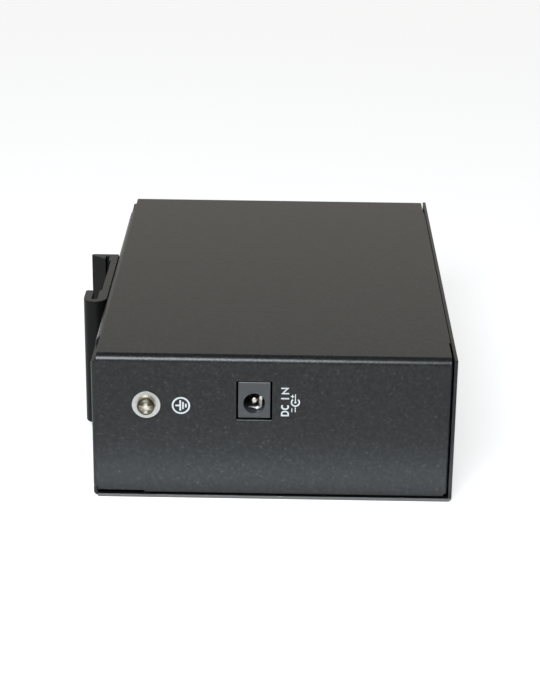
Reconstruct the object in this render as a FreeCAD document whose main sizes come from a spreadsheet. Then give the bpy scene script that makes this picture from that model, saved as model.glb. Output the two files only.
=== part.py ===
import FreeCAD, Part
import os
import re
import Sketcher
from FreeCAD import Rotation, Vector

# Industrial ethernet switch: a folded sheet-metal case with five ports and a clip for a 35 mm rail.
# The case lies on the side plate of its cover. +X is the front with the ports, -X the back with the
# clip, -Y the end wall with the earth screw and the power inlet, +Z the main plate.
# The origin is the middle of the underside. All sizes are in millimetres.

PORT_COUNT = 5
FIN_COUNT = 6
WIRES_PER_PORT = 8

SIZES = {
    # Case
    "case_width": 102.0,
    "case_depth": 150.0,
    "case_height": 43.5,
    "sheet_gauge": 1.0,
    "bend_radius": 2.2,
    "corner_radius": 1.2,
    "seam_gap": 0.2,
    "front_notch": 13.0,
    "back_notch": 15.0,
    "corner_relief": 0.4,
    "flange_drop": 2.6,
    "wall_foot": 2.2,
    "foot_inset": 14.4,
    "foot_flange": 8.0,
    "back_lip_height": 3.0,
    "panel_drop": 0.3,
    # Small screws, nuts and pillars of the case
    "screw_thread": 3.0,
    "screw_head": 5.2,
    "screw_length": 6.0,
    "thread_clearance": 0.05,
    "hole_clearance": 0.2,
    "nut_width": 5.5,
    "nut_height": 2.4,
    "flange_screw_inset": 6.8,
    "flange_screw_rise": 20.0,
    "pillar_width": 6.0,
    "pillar_inset": 7.5,
    "pillar_spread": 96.0,
    # Rail clip
    "clip_low": 2.6,
    "clip_length": 39.8,
    "clip_plate": 2.1,
    "clip_far": 13.8,
    "rail_width": 35.0,
    "spring_room": 5.5,
    "slot_depth": 7.8,
    "slot_width": 1.8,
    "land_height": 0.7,
    "land_length": 4.5,
    "arm_thickness": 2.4,
    "nose_wall": 2.1,
    "nose_radius": 3.3,
    "barb_reach": 2.6,
    "barb_gap": 1.15,
    "far_wall": 1.8,
    "far_reach": 8.6,
    "far_tip": 0.9,
    "arm_rounding": 0.8,
    "clip_screw_inset": 10.0,
    # Spring tongue in the rail slot
    "spring_pin_diameter": 1.2,
    "spring_pin_rise": 5.0,
    "spring_pin_bite": 1.6,
    "spring_gauge": 0.5,
    "spring_width": 1.3,
    "spring_length": 29.0,
    "spring_roll": 0.45,
    "spring_lean_angle": 4.5,
    "spring_clearance": 0.06,
    "spring_floor_gap": 0.3,
    # Earth terminal
    "ground_inset": 15.4,
    "ground_rise": 28.9,
    "ground_thread": 3.0,
    "ground_washer_diameter": 8.0,
    "ground_washer_thickness": 0.6,
    "ground_lock_diameter": 5.4,
    "ground_lock_thickness": 0.8,
    "ground_lock_split": 0.5,
    "ground_head_diameter": 4.9,
    "ground_head_height": 1.6,
    "ground_head_chamfer": 0.5,
    "ground_recess_width": 0.9,
    "ground_recess_length": 2.8,
    "ground_recess_depth": 1.0,
    "ground_nut_width": 5.5,
    "ground_nut_height": 2.4,
    # Power inlet
    "jack_offset": 5.4,
    "jack_width": 9.0,
    "jack_height": 10.8,
    "jack_length": 14.3,
    "jack_setback": 0.3,
    "jack_margin": 0.5,
    "jack_bore": 6.0,
    "jack_bore_depth": 9.5,
    "jack_bore_drop": 6.5,
    "jack_pin_diameter": 2.0,
    "jack_pin_setback": 2.1,
    "jack_pin_chamfer": 0.5,
    "jack_contact_gauge": 0.3,
    "jack_contact_length": 7.2,
    "jack_contact_start_angle": 55.0,
    "jack_contact_wrap_angle": 150.0,
    # Circuit board
    "board_thickness": 1.6,
    "board_front_inset": 3.4,
    "board_back_inset": 15.0,
    "board_near_inset": 4.0,
    "board_far_inset": 13.0,
    "standoff_height": 5.0,
    "standoff_width": 6.0,
    "standoff_inset": 4.5,
    "board_screw_head": 5.0,
    "board_screw_head_height": 1.8,
    # Network ports
    "port_end": 16.0,
    "port_pitch": 18.0,
    "port_width": 16.0,
    "port_height": 13.4,
    "port_depth": 16.5,
    "port_proud": 0.5,
    "port_margin": 0.25,
    "shield_gauge": 0.3,
    "cavity_width": 11.9,
    "cavity_height": 6.9,
    "cavity_depth": 12.6,
    "cavity_drop": 1.9,
    "latch_width": 6.2,
    "latch_height": 1.6,
    "key_width": 3.4,
    "key_height": 1.1,
    "wire_pitch": 1.02,
    "wire_width": 0.4,
    "wire_gauge": 0.3,
    "wire_root": 2.2,
    "wire_setback": 1.6,
    "wire_length": 8.0,
    "wire_slope_angle": 24.0,
    # Indicators
    "lamp_gap": 5.0,
    "lamp_diameter": 3.0,
    "lamp_margin": 0.15,
    "lamp_proud": 0.6,
    "lamp_chamfer": 0.5,
    "lamp_drop": 5.0,
    "lamp_holder_width": 6.0,
    "lamp_holder_depth": 6.5,
    "lamp_holder_height": 7.2,
    "window_width": 3.0,
    "window_height": 1.8,
    "window_depth": 6.0,
    "window_spread": 5.6,
    "window_rise": 1.2,
    "window_clearance": 0.05,
    # Parts soldered to the board
    "transformer_width": 12.8,
    "transformer_length": 9.4,
    "transformer_height": 6.0,
    "transformer_gap": 3.0,
    "chip_side": 20.0,
    "chip_height": 1.5,
    "chip_chamfer": 1.2,
    "chip_back": 6.0,
    "chip_along": 8.0,
    "sink_side": 24.0,
    "sink_base": 2.0,
    "sink_height": 9.0,
    "fin_thickness": 1.4,
    "memory_length": 5.3,
    "memory_width": 5.2,
    "memory_height": 1.8,
    "crystal_length": 11.0,
    "crystal_width": 4.6,
    "crystal_height": 3.5,
    "crystal_chamfer": 1.6,
    "small_part_along": 32.0,
    "inductor_side": 12.0,
    "inductor_height": 7.0,
    "inductor_chamfer": 2.4,
    "capacitor_diameter": 8.0,
    "capacitor_height": 11.5,
    "regulator_length": 10.2,
    "regulator_width": 9.0,
    "regulator_height": 4.4,
    "fuse_length": 8.0,
    "fuse_width": 3.2,
    "fuse_height": 2.2,
    "power_along": 44.0,
    "power_back": 26.0,
}

doc = FreeCAD.newDocument("ethernet_switch")
sheet = doc.addObject("Spreadsheet::Sheet", "sizes")
for row, (alias, value) in enumerate(SIZES.items(), start=1):
    sheet.set(f"A{row}", alias)
    sheet.set(f"B{row}", str(value))
    sheet.setAlias(f"B{row}", alias)
doc.recompute()

nodes = []


def cells(text):
    """An expression in plain size names, with each name pointed at its cell."""
    return re.sub(r"[a-z_]+", lambda word: f"sizes.{word[0]}" if word[0] in SIZES else word[0], text)


def number(text):
    return float(sheet.evalExpression(cells(text)))


def bind(item, path, text):
    item.setExpression(path, cells(text))


def place(item, at):
    for axis, text in zip("xyz", at):
        bind(item, f"Placement.Base.{axis}", text)


def box(name, x, y, z):
    """Block between a low and a high face along each axis."""
    item = doc.addObject("Part::Box", name)
    for side, (low, high) in zip(("Length", "Width", "Height"), (x, y, z)):
        bind(item, side, f"({high}) - ({low})")
    place(item, (x[0], y[0], z[0]))
    return item


# Turns that lay a cylinder's own axis along X, Y or Z.
LAY = {
    "x": Rotation(Vector(0, 1, 0), Vector(0, 0, 1), Vector(1, 0, 0), "ZXY"),
    "y": Rotation(Vector(0, 0, 1), Vector(1, 0, 0), Vector(0, 1, 0), "ZXY"),
    "z": Rotation(),
}


def cylinder(name, axis, at, radius, length):
    item = doc.addObject("Part::Cylinder", name)
    item.Placement.Rotation = LAY[axis]
    place(item, at)
    bind(item, "Radius", radius)
    bind(item, "Height", length)
    return item


def hexagon(name, axis, at, width, length):
    """Six-sided bar, measured across its flats."""
    item = doc.addObject("Part::Prism", name)
    item.Polygon = 6
    item.Placement.Rotation = LAY[axis]
    place(item, at)
    bind(item, "Circumradius", f"({width}) / sqrt(3)")
    bind(item, "Height", length)
    return item


def cone(name, axis, at, first_radius, last_radius, length):
    item = doc.addObject("Part::Cone", name)
    item.Placement.Rotation = LAY[axis]
    place(item, at)
    bind(item, "Radius1", first_radius)
    bind(item, "Radius2", last_radius)
    bind(item, "Height", length)
    return item


def fuse(name, pieces):
    item = doc.addObject("Part::MultiFuse", name)
    item.Shapes = pieces
    item.Refine = True
    return item


def group(name, pieces):
    """Separate like solids that share one node."""
    item = doc.addObject("Part::Compound", name)
    item.Links = pieces
    return item


def cut(name, base, tools):
    item = doc.addObject("Part::Cut", name)
    item.Base = base
    item.Tool = tools[0] if len(tools) == 1 else fuse(f"{name}_tools", tools)
    item.Refine = True
    return item


def ring(name, axis, at, outer, inner, length):
    rim = cylinder(f"{name}_rim", axis, at, outer, length)
    return cut(name, rim, [cylinder(f"{name}_eye", axis, at, inner, length)])


def nut(name, axis, at, width, bore, length):
    bar = hexagon(f"{name}_bar", axis, at, width, length)
    return cut(name, bar, [cylinder(f"{name}_bore", axis, at, bore, length)])


def bend(name, axis, at, length, start, outer="bend_radius"):
    """Quarter tube of folded sheet along an axis, from the start angle on."""
    sectors = []
    for side, radius in (("outside", outer), ("inside", f"{outer} - sheet_gauge")):
        sector = cylinder(f"{name}_{side}", axis, at, radius, length)
        sector.Angle = 90
        sector.Placement.Rotation = LAY[axis] * Rotation(Vector(0, 0, 1), start)
        sectors.append(sector)
    return cut(name, sectors[0], sectors[1:])


def span(face, inward, near_depth, far_depth):
    """Range between two depths behind a face, low end first."""
    ends = [f"{face} {inward} ({near_depth})", f"{face} {inward} ({far_depth})"]
    return tuple(ends if inward == "+" else reversed(ends))


def bevelled(name, base, size, wanted):
    """Chamfer the edges whose middle point passes the test."""
    doc.recompute()
    item = doc.addObject("Part::Chamfer", name)
    item.Base = base
    edges = base.Shape.Edges
    picked = [i + 1 for i, edge in enumerate(edges) if wanted(edge, edge.CenterOfMass)]
    item.Edges = [(i, number(size), number(size)) for i in picked]
    return item


def finish(item, name):
    """Take a finished piece into the list of nodes under its own name."""
    item.Label = name
    nodes.append(item)
    return item


def near_to(first, second):
    return abs(first - second) < 0.001


# Main faces of the case
left = "-case_width / 2"
right = "case_width / 2"
near = "-case_depth / 2"
far = "case_depth / 2"
top = "case_height"
plate_under = f"{top} - sheet_gauge"
panel_back = f"{right} - sheet_gauge"
flange_face = f"{panel_back} - seam_gap"
back_tangent = f"{left} + bend_radius"
corner_back = f"{left} + corner_radius"
tab_edge = f"{corner_back} + seam_gap"
corner_front = f"{flange_face} - corner_radius"
relief_edge = f"{flange_face} - corner_relief"
notch_front = (f"{near} + front_notch", f"{far} - front_notch")
notch_back = (f"{near} + back_notch", f"{far} - back_notch")
notch_back_length = f"({notch_back[1]}) - ({notch_back[0]})"
back_foot = "back_lip_height + seam_gap"
screw_bore = "screw_thread / 2 + thread_clearance"
screw_hole = "screw_thread / 2 + hole_clearance"

# The board and its component side, which faces down
board_x = (f"{left} + board_back_inset", f"{right} - board_front_inset")
board_y = (f"{near} + board_near_inset", f"{far} - board_far_inset")
board_top = f"{plate_under} - standoff_height"
board_under = f"{board_top} - board_thickness"

# Places of the fasteners
clip_middle = "clip_far - rail_width / 2"
clip_screws_at = [
    ("low", "clip_low + clip_screw_inset"),
    ("high", "clip_low + clip_length - clip_screw_inset"),
]
flange_screws_at = [
    ("near", f"{near} + flange_screw_inset"),
    ("far", f"{far} - flange_screw_inset"),
]
pillar_x = f"{left} + pillar_inset"
pillars_at = [("near", "-pillar_spread / 2"), ("far", "pillar_spread / 2")]

# Chassis: main plate, back wall and two end walls, folded from one sheet
wall_top = f"{top} - bend_radius"
flange_top = f"{top} - flange_drop"
foot_x = f"{left} + foot_inset"
foot_under = "sheet_gauge + seam_gap"
foot_crease = f"{foot_under} + corner_radius"
chassis_parts = [
    box("main_plate", (back_tangent, relief_edge), (f"{near} + bend_radius", f"{far} - bend_radius"),
        (plate_under, top)),
    box("main_plate_edge", (relief_edge, flange_face), notch_front, (plate_under, top)),
    bend("back_bend", "y", (back_tangent, notch_back[0], wall_top), notch_back_length, 270),
    box("back_wall", (left, f"{left} + sheet_gauge"), notch_back, (back_foot, wall_top)),
]
end_walls = [
    # name, outer face, direction inwards, start angles of the top, back, front and foot bends
    ("near", near, "+", 90, 180, 270, 180),
    ("far", far, "-", 0, 90, 0, 270),
]
for name, face, inward, top_start, back_start, front_start, foot_bend_start in end_walls:
    top_crease = f"{face} {inward} bend_radius"
    crease = f"{face} {inward} corner_radius"
    wall_y = span(face, inward, "0", "sheet_gauge")
    chassis_parts += [
        bend(f"{name}_top_bend", "x", (tab_edge, top_crease, wall_top),
             f"({relief_edge}) - ({tab_edge})", top_start),
        box(f"{name}_plate_tab", (tab_edge, back_tangent), span(face, inward, "bend_radius", "back_notch"),
            (plate_under, top)),
        box(f"{name}_wall_back", (corner_back, foot_x), wall_y, ("wall_foot", wall_top)),
        box(f"{name}_wall", (foot_x, corner_front), wall_y, (foot_crease, wall_top)),
        bend(f"{name}_foot_bend", "x", (foot_x, crease, foot_crease), f"({corner_front}) - ({foot_x})",
             foot_bend_start, "corner_radius"),
        box(f"{name}_foot_flange", (foot_x, corner_front), span(face, inward, "corner_radius", "foot_flange"),
            (foot_under, f"{foot_under} + sheet_gauge")),
        bend(f"{name}_back_bend", "z", (corner_back, crease, back_foot),
             f"{wall_top} - ({back_foot})", back_start, "corner_radius"),
        box(f"{name}_back_flange", (left, f"{left} + sheet_gauge"),
            span(face, inward, "corner_radius", "back_notch - seam_gap"), (back_foot, flange_top)),
        bend(f"{name}_front_bend", "z", (corner_front, crease, foot_crease), f"{wall_top} - ({foot_crease})",
             front_start, "corner_radius"),
        box(f"{name}_front_flange", (f"{flange_face} - sheet_gauge", flange_face),
            span(face, inward, "corner_radius", "front_notch"), (foot_crease, flange_top)),
    ]
folded_chassis = fuse("folded_chassis", chassis_parts)

ground_x = f"{left} + ground_inset"
jack_x = "-jack_offset"
jack_low = f"{board_under} - jack_height"
through_near_wall = (f"{near} - sheet_gauge", f"{near} + 2 * sheet_gauge")
chassis_holes = [
    cylinder("earth_hole", "y", (ground_x, through_near_wall[0], "ground_rise"),
             "ground_thread / 2 + hole_clearance", "3 * sheet_gauge"),
    box("jack_hole", (f"{jack_x} - jack_width / 2 - jack_margin", f"{jack_x} + jack_width / 2 + jack_margin"),
        through_near_wall, (f"{jack_low} - jack_margin", f"{board_under} + jack_margin / 2")),
]
for name, z in clip_screws_at:
    chassis_holes.append(cylinder(f"clip_hole_{name}", "x", (f"{left} - sheet_gauge", clip_middle, z),
                                  screw_hole, "3 * sheet_gauge"))
for name, y in flange_screws_at:
    chassis_holes.append(cylinder(f"flange_hole_{name}", "x",
                                  (f"{flange_face} - 2 * sheet_gauge", y, "flange_screw_rise"),
                                  screw_hole, "3 * sheet_gauge"))
finish(cut("chassis_cut", folded_chassis, chassis_holes), "chassis")

# Front cover: front panel and side plate folded from one sheet, with a short lip along the back edge
lip_near = f"{near} + sheet_gauge"
lip_far = f"{far} - sheet_gauge"
folded_cover = fuse("folded_cover", [
    box("front_panel", (panel_back, right), (near, far), ("corner_radius", f"{top} - panel_drop")),
    bend("front_bend", "y", (f"{right} - corner_radius", near, "corner_radius"), "case_depth", 90,
         "corner_radius"),
    box("side_plate", (corner_back, f"{right} - corner_radius"), (near, far), ("0", "sheet_gauge")),
    bend("back_lip_bend", "y", (corner_back, lip_near, "corner_radius"), f"({lip_far}) - ({lip_near})", 180,
         "corner_radius"),
    box("back_lip", (left, f"{left} + sheet_gauge"), (lip_near, lip_far),
        ("corner_radius", "back_lip_height")),
])

port_last = f"{board_y[1]} - port_end"
port_places = [f"{port_last} - {PORT_COUNT - 1 - index} * port_pitch" for index in range(PORT_COUNT)]
port_low = f"{board_under} - port_height"
lamp_y = f"{port_places[0]} - port_width / 2 - lamp_gap"
lamp_z = f"{board_under} - lamp_drop"
cover_holes = [cylinder("lamp_hole", "x", (f"{panel_back} - sheet_gauge", lamp_y, lamp_z),
                        "lamp_diameter / 2 + lamp_margin", "3 * sheet_gauge")]
for index, y in enumerate(port_places, start=1):
    cover_holes.append(box(f"port_hole_{index}", (f"{panel_back} - sheet_gauge", f"{right} + sheet_gauge"),
                           (f"{y} - port_width / 2 - port_margin", f"{y} + port_width / 2 + port_margin"),
                           (f"{port_low} - port_margin", f"{board_under} + port_margin")))
for name, y in flange_screws_at:
    cover_holes.append(cone(f"flange_sink_{name}", "x", (panel_back, y, "flange_screw_rise"),
                            screw_hole, "screw_head / 2 + hole_clearance", "sheet_gauge"))
for name, y in pillars_at:
    cover_holes.append(cone(f"pillar_sink_{name}", "z", (pillar_x, y, "0"),
                            "screw_head / 2 + hole_clearance", screw_hole, "sheet_gauge"))
finish(cut("cover_cut", folded_cover, cover_holes), "front_cover")


# Countersunk screws, hexagon nuts and pillars
def sunk_screw(name, axis, head_at, head_depth, shank_at, shank_length, head_first):
    """Countersunk screw: a conical head and a plain shank in line with it."""
    wide, slim = "screw_head / 2", "screw_thread / 2"
    radii = (wide, slim) if head_first else (slim, wide)
    head = cone(f"{name}_head", axis, head_at, *radii, head_depth)
    return fuse(name, [head, cylinder(f"{name}_shank", axis, shank_at, slim, shank_length)])


finish(group("cover_screw_set", [
    sunk_screw(f"cover_screw_{name}", "x", (panel_back, y, "flange_screw_rise"), "sheet_gauge",
               (f"{panel_back} - screw_length", y, "flange_screw_rise"), "screw_length", False)
    for name, y in flange_screws_at]), "cover_screws")
finish(group("cover_nut_set", [
    nut(f"cover_nut_{name}", "x", (f"{flange_face} - sheet_gauge - nut_height", y, "flange_screw_rise"),
        "nut_width", screw_bore, "nut_height")
    for name, y in flange_screws_at]), "cover_nuts")
pillar_length = f"{plate_under} - sheet_gauge"
pillar_bore_depth = "screw_length + thread_clearance"
finish(group("pillar_set", [
    cut(f"pillar_{name}",
        hexagon(f"pillar_rod_{name}", "z", (pillar_x, y, "sheet_gauge"), "pillar_width", pillar_length),
        [cylinder(f"pillar_bore_{name}", "z", (pillar_x, y, "sheet_gauge"), screw_bore, pillar_bore_depth)])
    for name, y in pillars_at]), "cover_pillars")
finish(group("pillar_screw_set", [
    sunk_screw(f"pillar_screw_{name}", "z", (pillar_x, y, "0"), "sheet_gauge",
               (pillar_x, y, "sheet_gauge"), "screw_length", True)
    for name, y in pillars_at]), "pillar_screws")

# Rail clip: one aluminium extrusion with a deep hook at its near end and a barbed hook at its far end
plate_x = f"{left} - clip_plate"
land_x = f"{plate_x} - land_height"
slot_x = f"{land_x} - slot_width"
arm_x = f"{slot_x} - arm_thickness"
barb_x = f"{land_x} - barb_gap"
far_x = f"{left} - far_reach"
floor_y = "clip_far - rail_width - spring_room"
nose_y = f"{floor_y} - nose_wall"
arm_y = f"{floor_y} + slot_depth"
far_out = "clip_far + far_wall"
clip_outline = [
    (left, nose_y),
    (left, far_out),
    (far_x, far_out),
    (far_x, f"{far_out} - far_tip"),
    (barb_x, "clip_far - barb_reach"),
    (barb_x, "clip_far"),
    (land_x, "clip_far"),
    (land_x, "clip_far - land_length"),
    (plate_x, "clip_far - land_length"),
    (plate_x, arm_y),
    (land_x, arm_y),
    (land_x, floor_y),
    (slot_x, floor_y),
    (slot_x, arm_y),
    (arm_x, arm_y),
    (arm_x, nose_y),
]


def outline(body, points, height):
    """Closed sketch at a height, each corner held by two dimensions from the origin."""
    sketch = body.newObject("Sketcher::SketchObject", "profile")
    plane = next(item for item in body.Origin.OriginFeatures if item.Role == "XY_Plane")
    sketch.AttachmentSupport = (plane, [""])
    sketch.MapMode = "FlatFace"
    bind(sketch, "AttachmentOffset.Base.z", height)
    corners = [Vector(number(x), number(y), 0) for x, y in points]
    for corner, following in zip(corners, corners[1:] + corners[:1]):
        sketch.addGeometry(Part.LineSegment(corner, following), False)
    for index in range(len(points)):
        following = (index + 1) % len(points)
        sketch.addConstraint(Sketcher.Constraint("Coincident", index, 2, following, 1))
    for index, point in enumerate(points):
        for kind, text in zip(("DistanceX", "DistanceY"), point):
            held = sketch.addConstraint(Sketcher.Constraint(kind, -1, 1, index, 1, number(text)))
            bind(sketch, f"Constraints[{held}]", text)
    return sketch


def upright_edges(shape, corners):
    """Names of the edges along Z that stand on the given corners."""
    places = [(number(x), number(y)) for x, y in corners]
    names = []
    for index, edge in enumerate(shape.Edges, start=1):
        middle = edge.CenterOfMass
        if any(near_to(middle.x, x) and near_to(middle.y, y) for x, y in places):
            names.append(f"Edge{index}")
    return names


def round_corners(body, name, base, corners, radius):
    doc.recompute()
    item = body.newObject("PartDesign::Fillet", name)
    item.Base = (base, upright_edges(base.Shape, corners))
    bind(item, "Radius", radius)
    return item


clip_body = doc.addObject("PartDesign::Body", "clip_body")
clip_pad = clip_body.newObject("PartDesign::Pad", "clip_extrusion")
clip_pad.Profile = outline(clip_body, clip_outline, "clip_low")
bind(clip_pad, "Length", "clip_length")
nose_round = round_corners(clip_body, "nose_round", clip_pad, [(left, nose_y), (arm_x, nose_y)],
                           "nose_radius")
tip_round = round_corners(clip_body, "tip_round", nose_round,
                          [(arm_x, arm_y), (slot_x, arm_y), (far_x, far_out)], "arm_rounding")
doc.recompute()

pin_y = f"{floor_y} + spring_floor_gap + spring_pin_diameter / 2 + spring_clearance + spring_gauge"
pin_z = "clip_low + spring_pin_rise"
pin_length = "arm_thickness + slot_width + spring_pin_bite"
clip_tools = [cylinder("pin_hole", "x", (arm_x, pin_y, pin_z),
                       "spring_pin_diameter / 2 + thread_clearance", pin_length)]
for name, z in clip_screws_at:
    clip_tools.append(cylinder(f"clip_bore_{name}", "x", (plate_x, clip_middle, z), screw_hole, "clip_plate"))
    clip_tools.append(cone(f"clip_sink_{name}", "x", (plate_x, clip_middle, z),
                           "screw_head / 2 + hole_clearance", screw_hole, "sheet_gauge"))
finish(cut("clip_cut", clip_body, clip_tools), "rail_clip")

clip_shank = "clip_plate + nut_height"
finish(group("clip_screw_set", [
    sunk_screw(f"clip_screw_{name}", "x", (plate_x, clip_middle, z), "sheet_gauge",
               (f"{plate_x} + sheet_gauge", clip_middle, z), clip_shank, True)
    for name, z in clip_screws_at]), "clip_screws")
finish(group("clip_nut_set", [
    nut(f"clip_nut_{name}", "x", (f"{left} + sheet_gauge", clip_middle, z),
        "nut_width", screw_bore, "nut_height")
    for name, z in clip_screws_at]), "clip_nuts")

# Spring tongue: flat steel with a curled eye on a pin across the slot, its free end on the rail's edge
slot_pin = cylinder("slot_pin", "x", (arm_x, pin_y, pin_z), "spring_pin_diameter / 2", pin_length)
finish(slot_pin, "spring_pin")
eye_inner = "spring_pin_diameter / 2 + spring_clearance"
eye_outer = f"{eye_inner} + spring_gauge"
half_width = "spring_width / 2"
tongue = fuse("tongue", [
    cylinder("eye_curl", "x", (f"-{half_width}", "0", "0"), eye_outer, "spring_width"),
    box("tongue_strip", (f"-{half_width}", half_width), (eye_inner, eye_outer), ("0", "spring_length")),
    cylinder("tongue_roll", "x", (f"-{half_width}", f"{eye_outer} - spring_roll", "spring_length"),
             "spring_roll", "spring_width"),
])
eye_bore = cylinder("eye_bore", "x", (f"-{half_width}", "0", "0"), eye_inner, "spring_width")
spring = cut("tongue_cut", tongue, [eye_bore])
spring.Placement.Rotation = Rotation(Vector(-1, 0, 0), 1)
bind(spring, "Placement.Rotation.Angle", "spring_lean_angle")
place(spring, (f"{land_x} - slot_width / 2", pin_y, pin_z))
finish(spring, "rail_spring")

# Earth terminal: pan-head screw with a spring washer and a flat washer, in a nut behind the wall
washer_front = f"{near} - ground_washer_thickness"
lock_front = f"{washer_front} - ground_lock_thickness"
head_front = f"{lock_front} - ground_head_height"
ground_bore = "ground_thread / 2 + hole_clearance"
finish(ring("flat_washer", "y", (ground_x, washer_front, "ground_rise"), "ground_washer_diameter / 2",
            ground_bore, "ground_washer_thickness"), "ground_washer")
lock_ring = ring("lock_ring", "y", (ground_x, lock_front, "ground_rise"), "ground_lock_diameter / 2",
                 ground_bore, "ground_lock_thickness")
lock_split = box("lock_split", (ground_x, f"{ground_x} + ground_lock_diameter"),
                 (lock_front, washer_front),
                 ("ground_rise - ground_lock_split / 2", "ground_rise + ground_lock_split / 2"))
finish(cut("lock_washer", lock_ring, [lock_split]), "ground_spring_washer")
head_blank = cylinder("earth_head", "y", (ground_x, head_front, "ground_rise"), "ground_head_diameter / 2",
                      "ground_head_height")
head_face = number(head_front)
head = bevelled("earth_head_bevel", head_blank, "ground_head_chamfer",
                lambda edge, middle: near_to(middle.y, head_face))
recess = []
for name, across, up in (("flat", "ground_recess_length", "ground_recess_width"),
                         ("upright", "ground_recess_width", "ground_recess_length")):
    recess.append(box(f"recess_{name}", (f"{ground_x} - {across} / 2", f"{ground_x} + {across} / 2"),
                      (head_front, f"{head_front} + ground_recess_depth"),
                      (f"ground_rise - {up} / 2", f"ground_rise + {up} / 2")))
earth_shank = cylinder("earth_shank", "y", (ground_x, lock_front, "ground_rise"), "ground_thread / 2",
                       "ground_lock_thickness + ground_washer_thickness + sheet_gauge + ground_nut_height")
finish(cut("earth_screw", fuse("earth_blank", [head, earth_shank]), recess), "ground_screw")
finish(nut("earth_nut", "y", (ground_x, f"{near} + sheet_gauge", "ground_rise"), "ground_nut_width",
           "ground_thread / 2 + thread_clearance", "ground_nut_height"), "ground_nut")

# Power inlet: moulded body with a round bore, a centre pin and a curved spring contact
jack_front = f"{near} + jack_setback"
bore_z = f"{board_under} - jack_bore_drop"
bore_end = f"{jack_front} + jack_bore_depth"
jack_block = box("jack_block", (f"{jack_x} - jack_width / 2", f"{jack_x} + jack_width / 2"),
                 (jack_front, f"{jack_front} + jack_length"), (jack_low, board_under))
jack_bore = cylinder("jack_bore_tool", "y", (jack_x, jack_front, bore_z), "jack_bore / 2", "jack_bore_depth")
finish(cut("jack_cut", jack_block, [jack_bore]), "dc_jack_body")
pin_blank = cylinder("inlet_pin", "y", (jack_x, f"{jack_front} + jack_pin_setback", bore_z),
                     "jack_pin_diameter / 2", "jack_bore_depth - jack_pin_setback")
pin_tip = number(f"{jack_front} + jack_pin_setback")
finish(bevelled("inlet_pin_bevel", pin_blank, "jack_pin_chamfer",
                lambda edge, middle: near_to(middle.y, pin_tip)), "dc_jack_pin")
contact_sleeve = ring("contact_sleeve", "y", (jack_x, f"{bore_end} - jack_contact_length", bore_z),
                      "jack_bore / 2 - thread_clearance", "jack_bore / 2 - jack_contact_gauge",
                      "jack_contact_length")
contact_wedge = cylinder("contact_wedge", "y", (jack_x, f"{bore_end} - jack_contact_length", bore_z),
                         "jack_bore / 2", "jack_contact_length")
contact_wedge.Placement.Rotation = LAY["y"] * Rotation(Vector(0, 0, 1), number("jack_contact_start_angle"))
bind(contact_wedge, "Angle", "jack_contact_wrap_angle")
inlet_contact = doc.addObject("Part::Common", "inlet_contact")
inlet_contact.Base = contact_sleeve
inlet_contact.Tool = contact_wedge
finish(inlet_contact, "dc_jack_contact")

# Circuit board on four standoffs under the main plate, component side down
standoffs_at = []
for side, x in (("back", f"{board_x[0]} + standoff_inset"), ("front", f"{board_x[1]} - standoff_inset")):
    for end, y in (("near", f"{board_y[0]} + standoff_inset"), ("far", f"{board_y[1]} - standoff_inset")):
        standoffs_at.append((f"{side}_{end}", x, y))
board_blank = box("board_blank", board_x, board_y, (board_under, board_top))
finish(cut("board_cut", board_blank, [
    cylinder(f"board_hole_{name}", "z", (x, y, board_under), screw_hole, "board_thickness")
    for name, x, y in standoffs_at]), "circuit_board")
finish(group("standoff_set", [
    nut(f"standoff_{name}", "z", (x, y, board_top), "standoff_width", screw_bore, "standoff_height")
    for name, x, y in standoffs_at]), "board_standoffs")
board_screw_set = []
for name, x, y in standoffs_at:
    board_screw_set.append(fuse(f"board_screw_{name}", [
        hexagon(f"board_head_{name}", "z", (x, y, f"{board_under} - board_screw_head_height"),
                "board_screw_head", "board_screw_head_height"),
        cylinder(f"board_shank_{name}", "z", (x, y, board_under), "screw_thread / 2",
                 "board_thickness + standoff_height"),
    ]))
finish(group("board_screw_group", board_screw_set), "board_screws")

# Network ports: a folded shield, a moulded housing with a keyed opening, eight spring wires
# and two small lamps in the corners beside the latch
port_front = f"{right} + port_proud"
port_back = f"{port_front} - port_depth"
shield_face = f"{port_front} - shield_gauge"
cavity_top = f"{board_under} - cavity_drop"
cavity_floor = f"{cavity_top} - cavity_height"
latch_floor = f"{cavity_floor} - latch_height"
key_floor = f"{latch_floor} - key_height"
cavity_end = f"{port_front} - cavity_depth"


def port_opening(name, y, x_low):
    """Keyed opening: the plug's body, its latch and the latch's tip."""
    steps = []
    for step, width, low, high in (("body", "cavity_width", cavity_floor, cavity_top),
                                   ("latch", "latch_width", latch_floor, cavity_floor),
                                   ("key", "key_width", key_floor, latch_floor)):
        steps.append(box(f"{name}_{step}", (x_low, port_front),
                         (f"{y} - {width} / 2", f"{y} + {width} / 2"), (low, high)))
    return fuse(name, steps)


def port_windows(name, y, clearance):
    """Blocks of the two lamps, or of the pockets that hold them with a clearance all round."""
    blocks = []
    low = f"{port_low} + window_rise"
    half = f"window_width / 2 + {clearance}"
    for side, middle in (("near", f"{y} - window_spread"), ("far", f"{y} + window_spread")):
        blocks.append(box(f"{name}_{side}", (f"{port_front} - window_depth", port_front),
                          (f"{middle} - ({half})", f"{middle} + {half}"),
                          (f"{low} - {clearance}", f"{low} + window_height + {clearance}")))
    return blocks


def port_shield(index, y):
    outside = (f"{y} - port_width / 2", f"{y} + port_width / 2")
    inside = (f"{outside[0]} + shield_gauge", f"{outside[1]} - shield_gauge")
    shell = box(f"shield_shell_{index}", (port_back, port_front), outside, (port_low, board_under))
    hollow = box(f"shield_hollow_{index}", (port_back, shield_face), inside,
                 (f"{port_low} + shield_gauge", board_under))
    mouth = port_opening(f"shield_mouth_{index}", y, shield_face)
    windows = port_windows(f"shield_window_{index}", y, "window_clearance")
    return cut(f"shield_cut_{index}", shell, [hollow, mouth] + windows)


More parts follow.
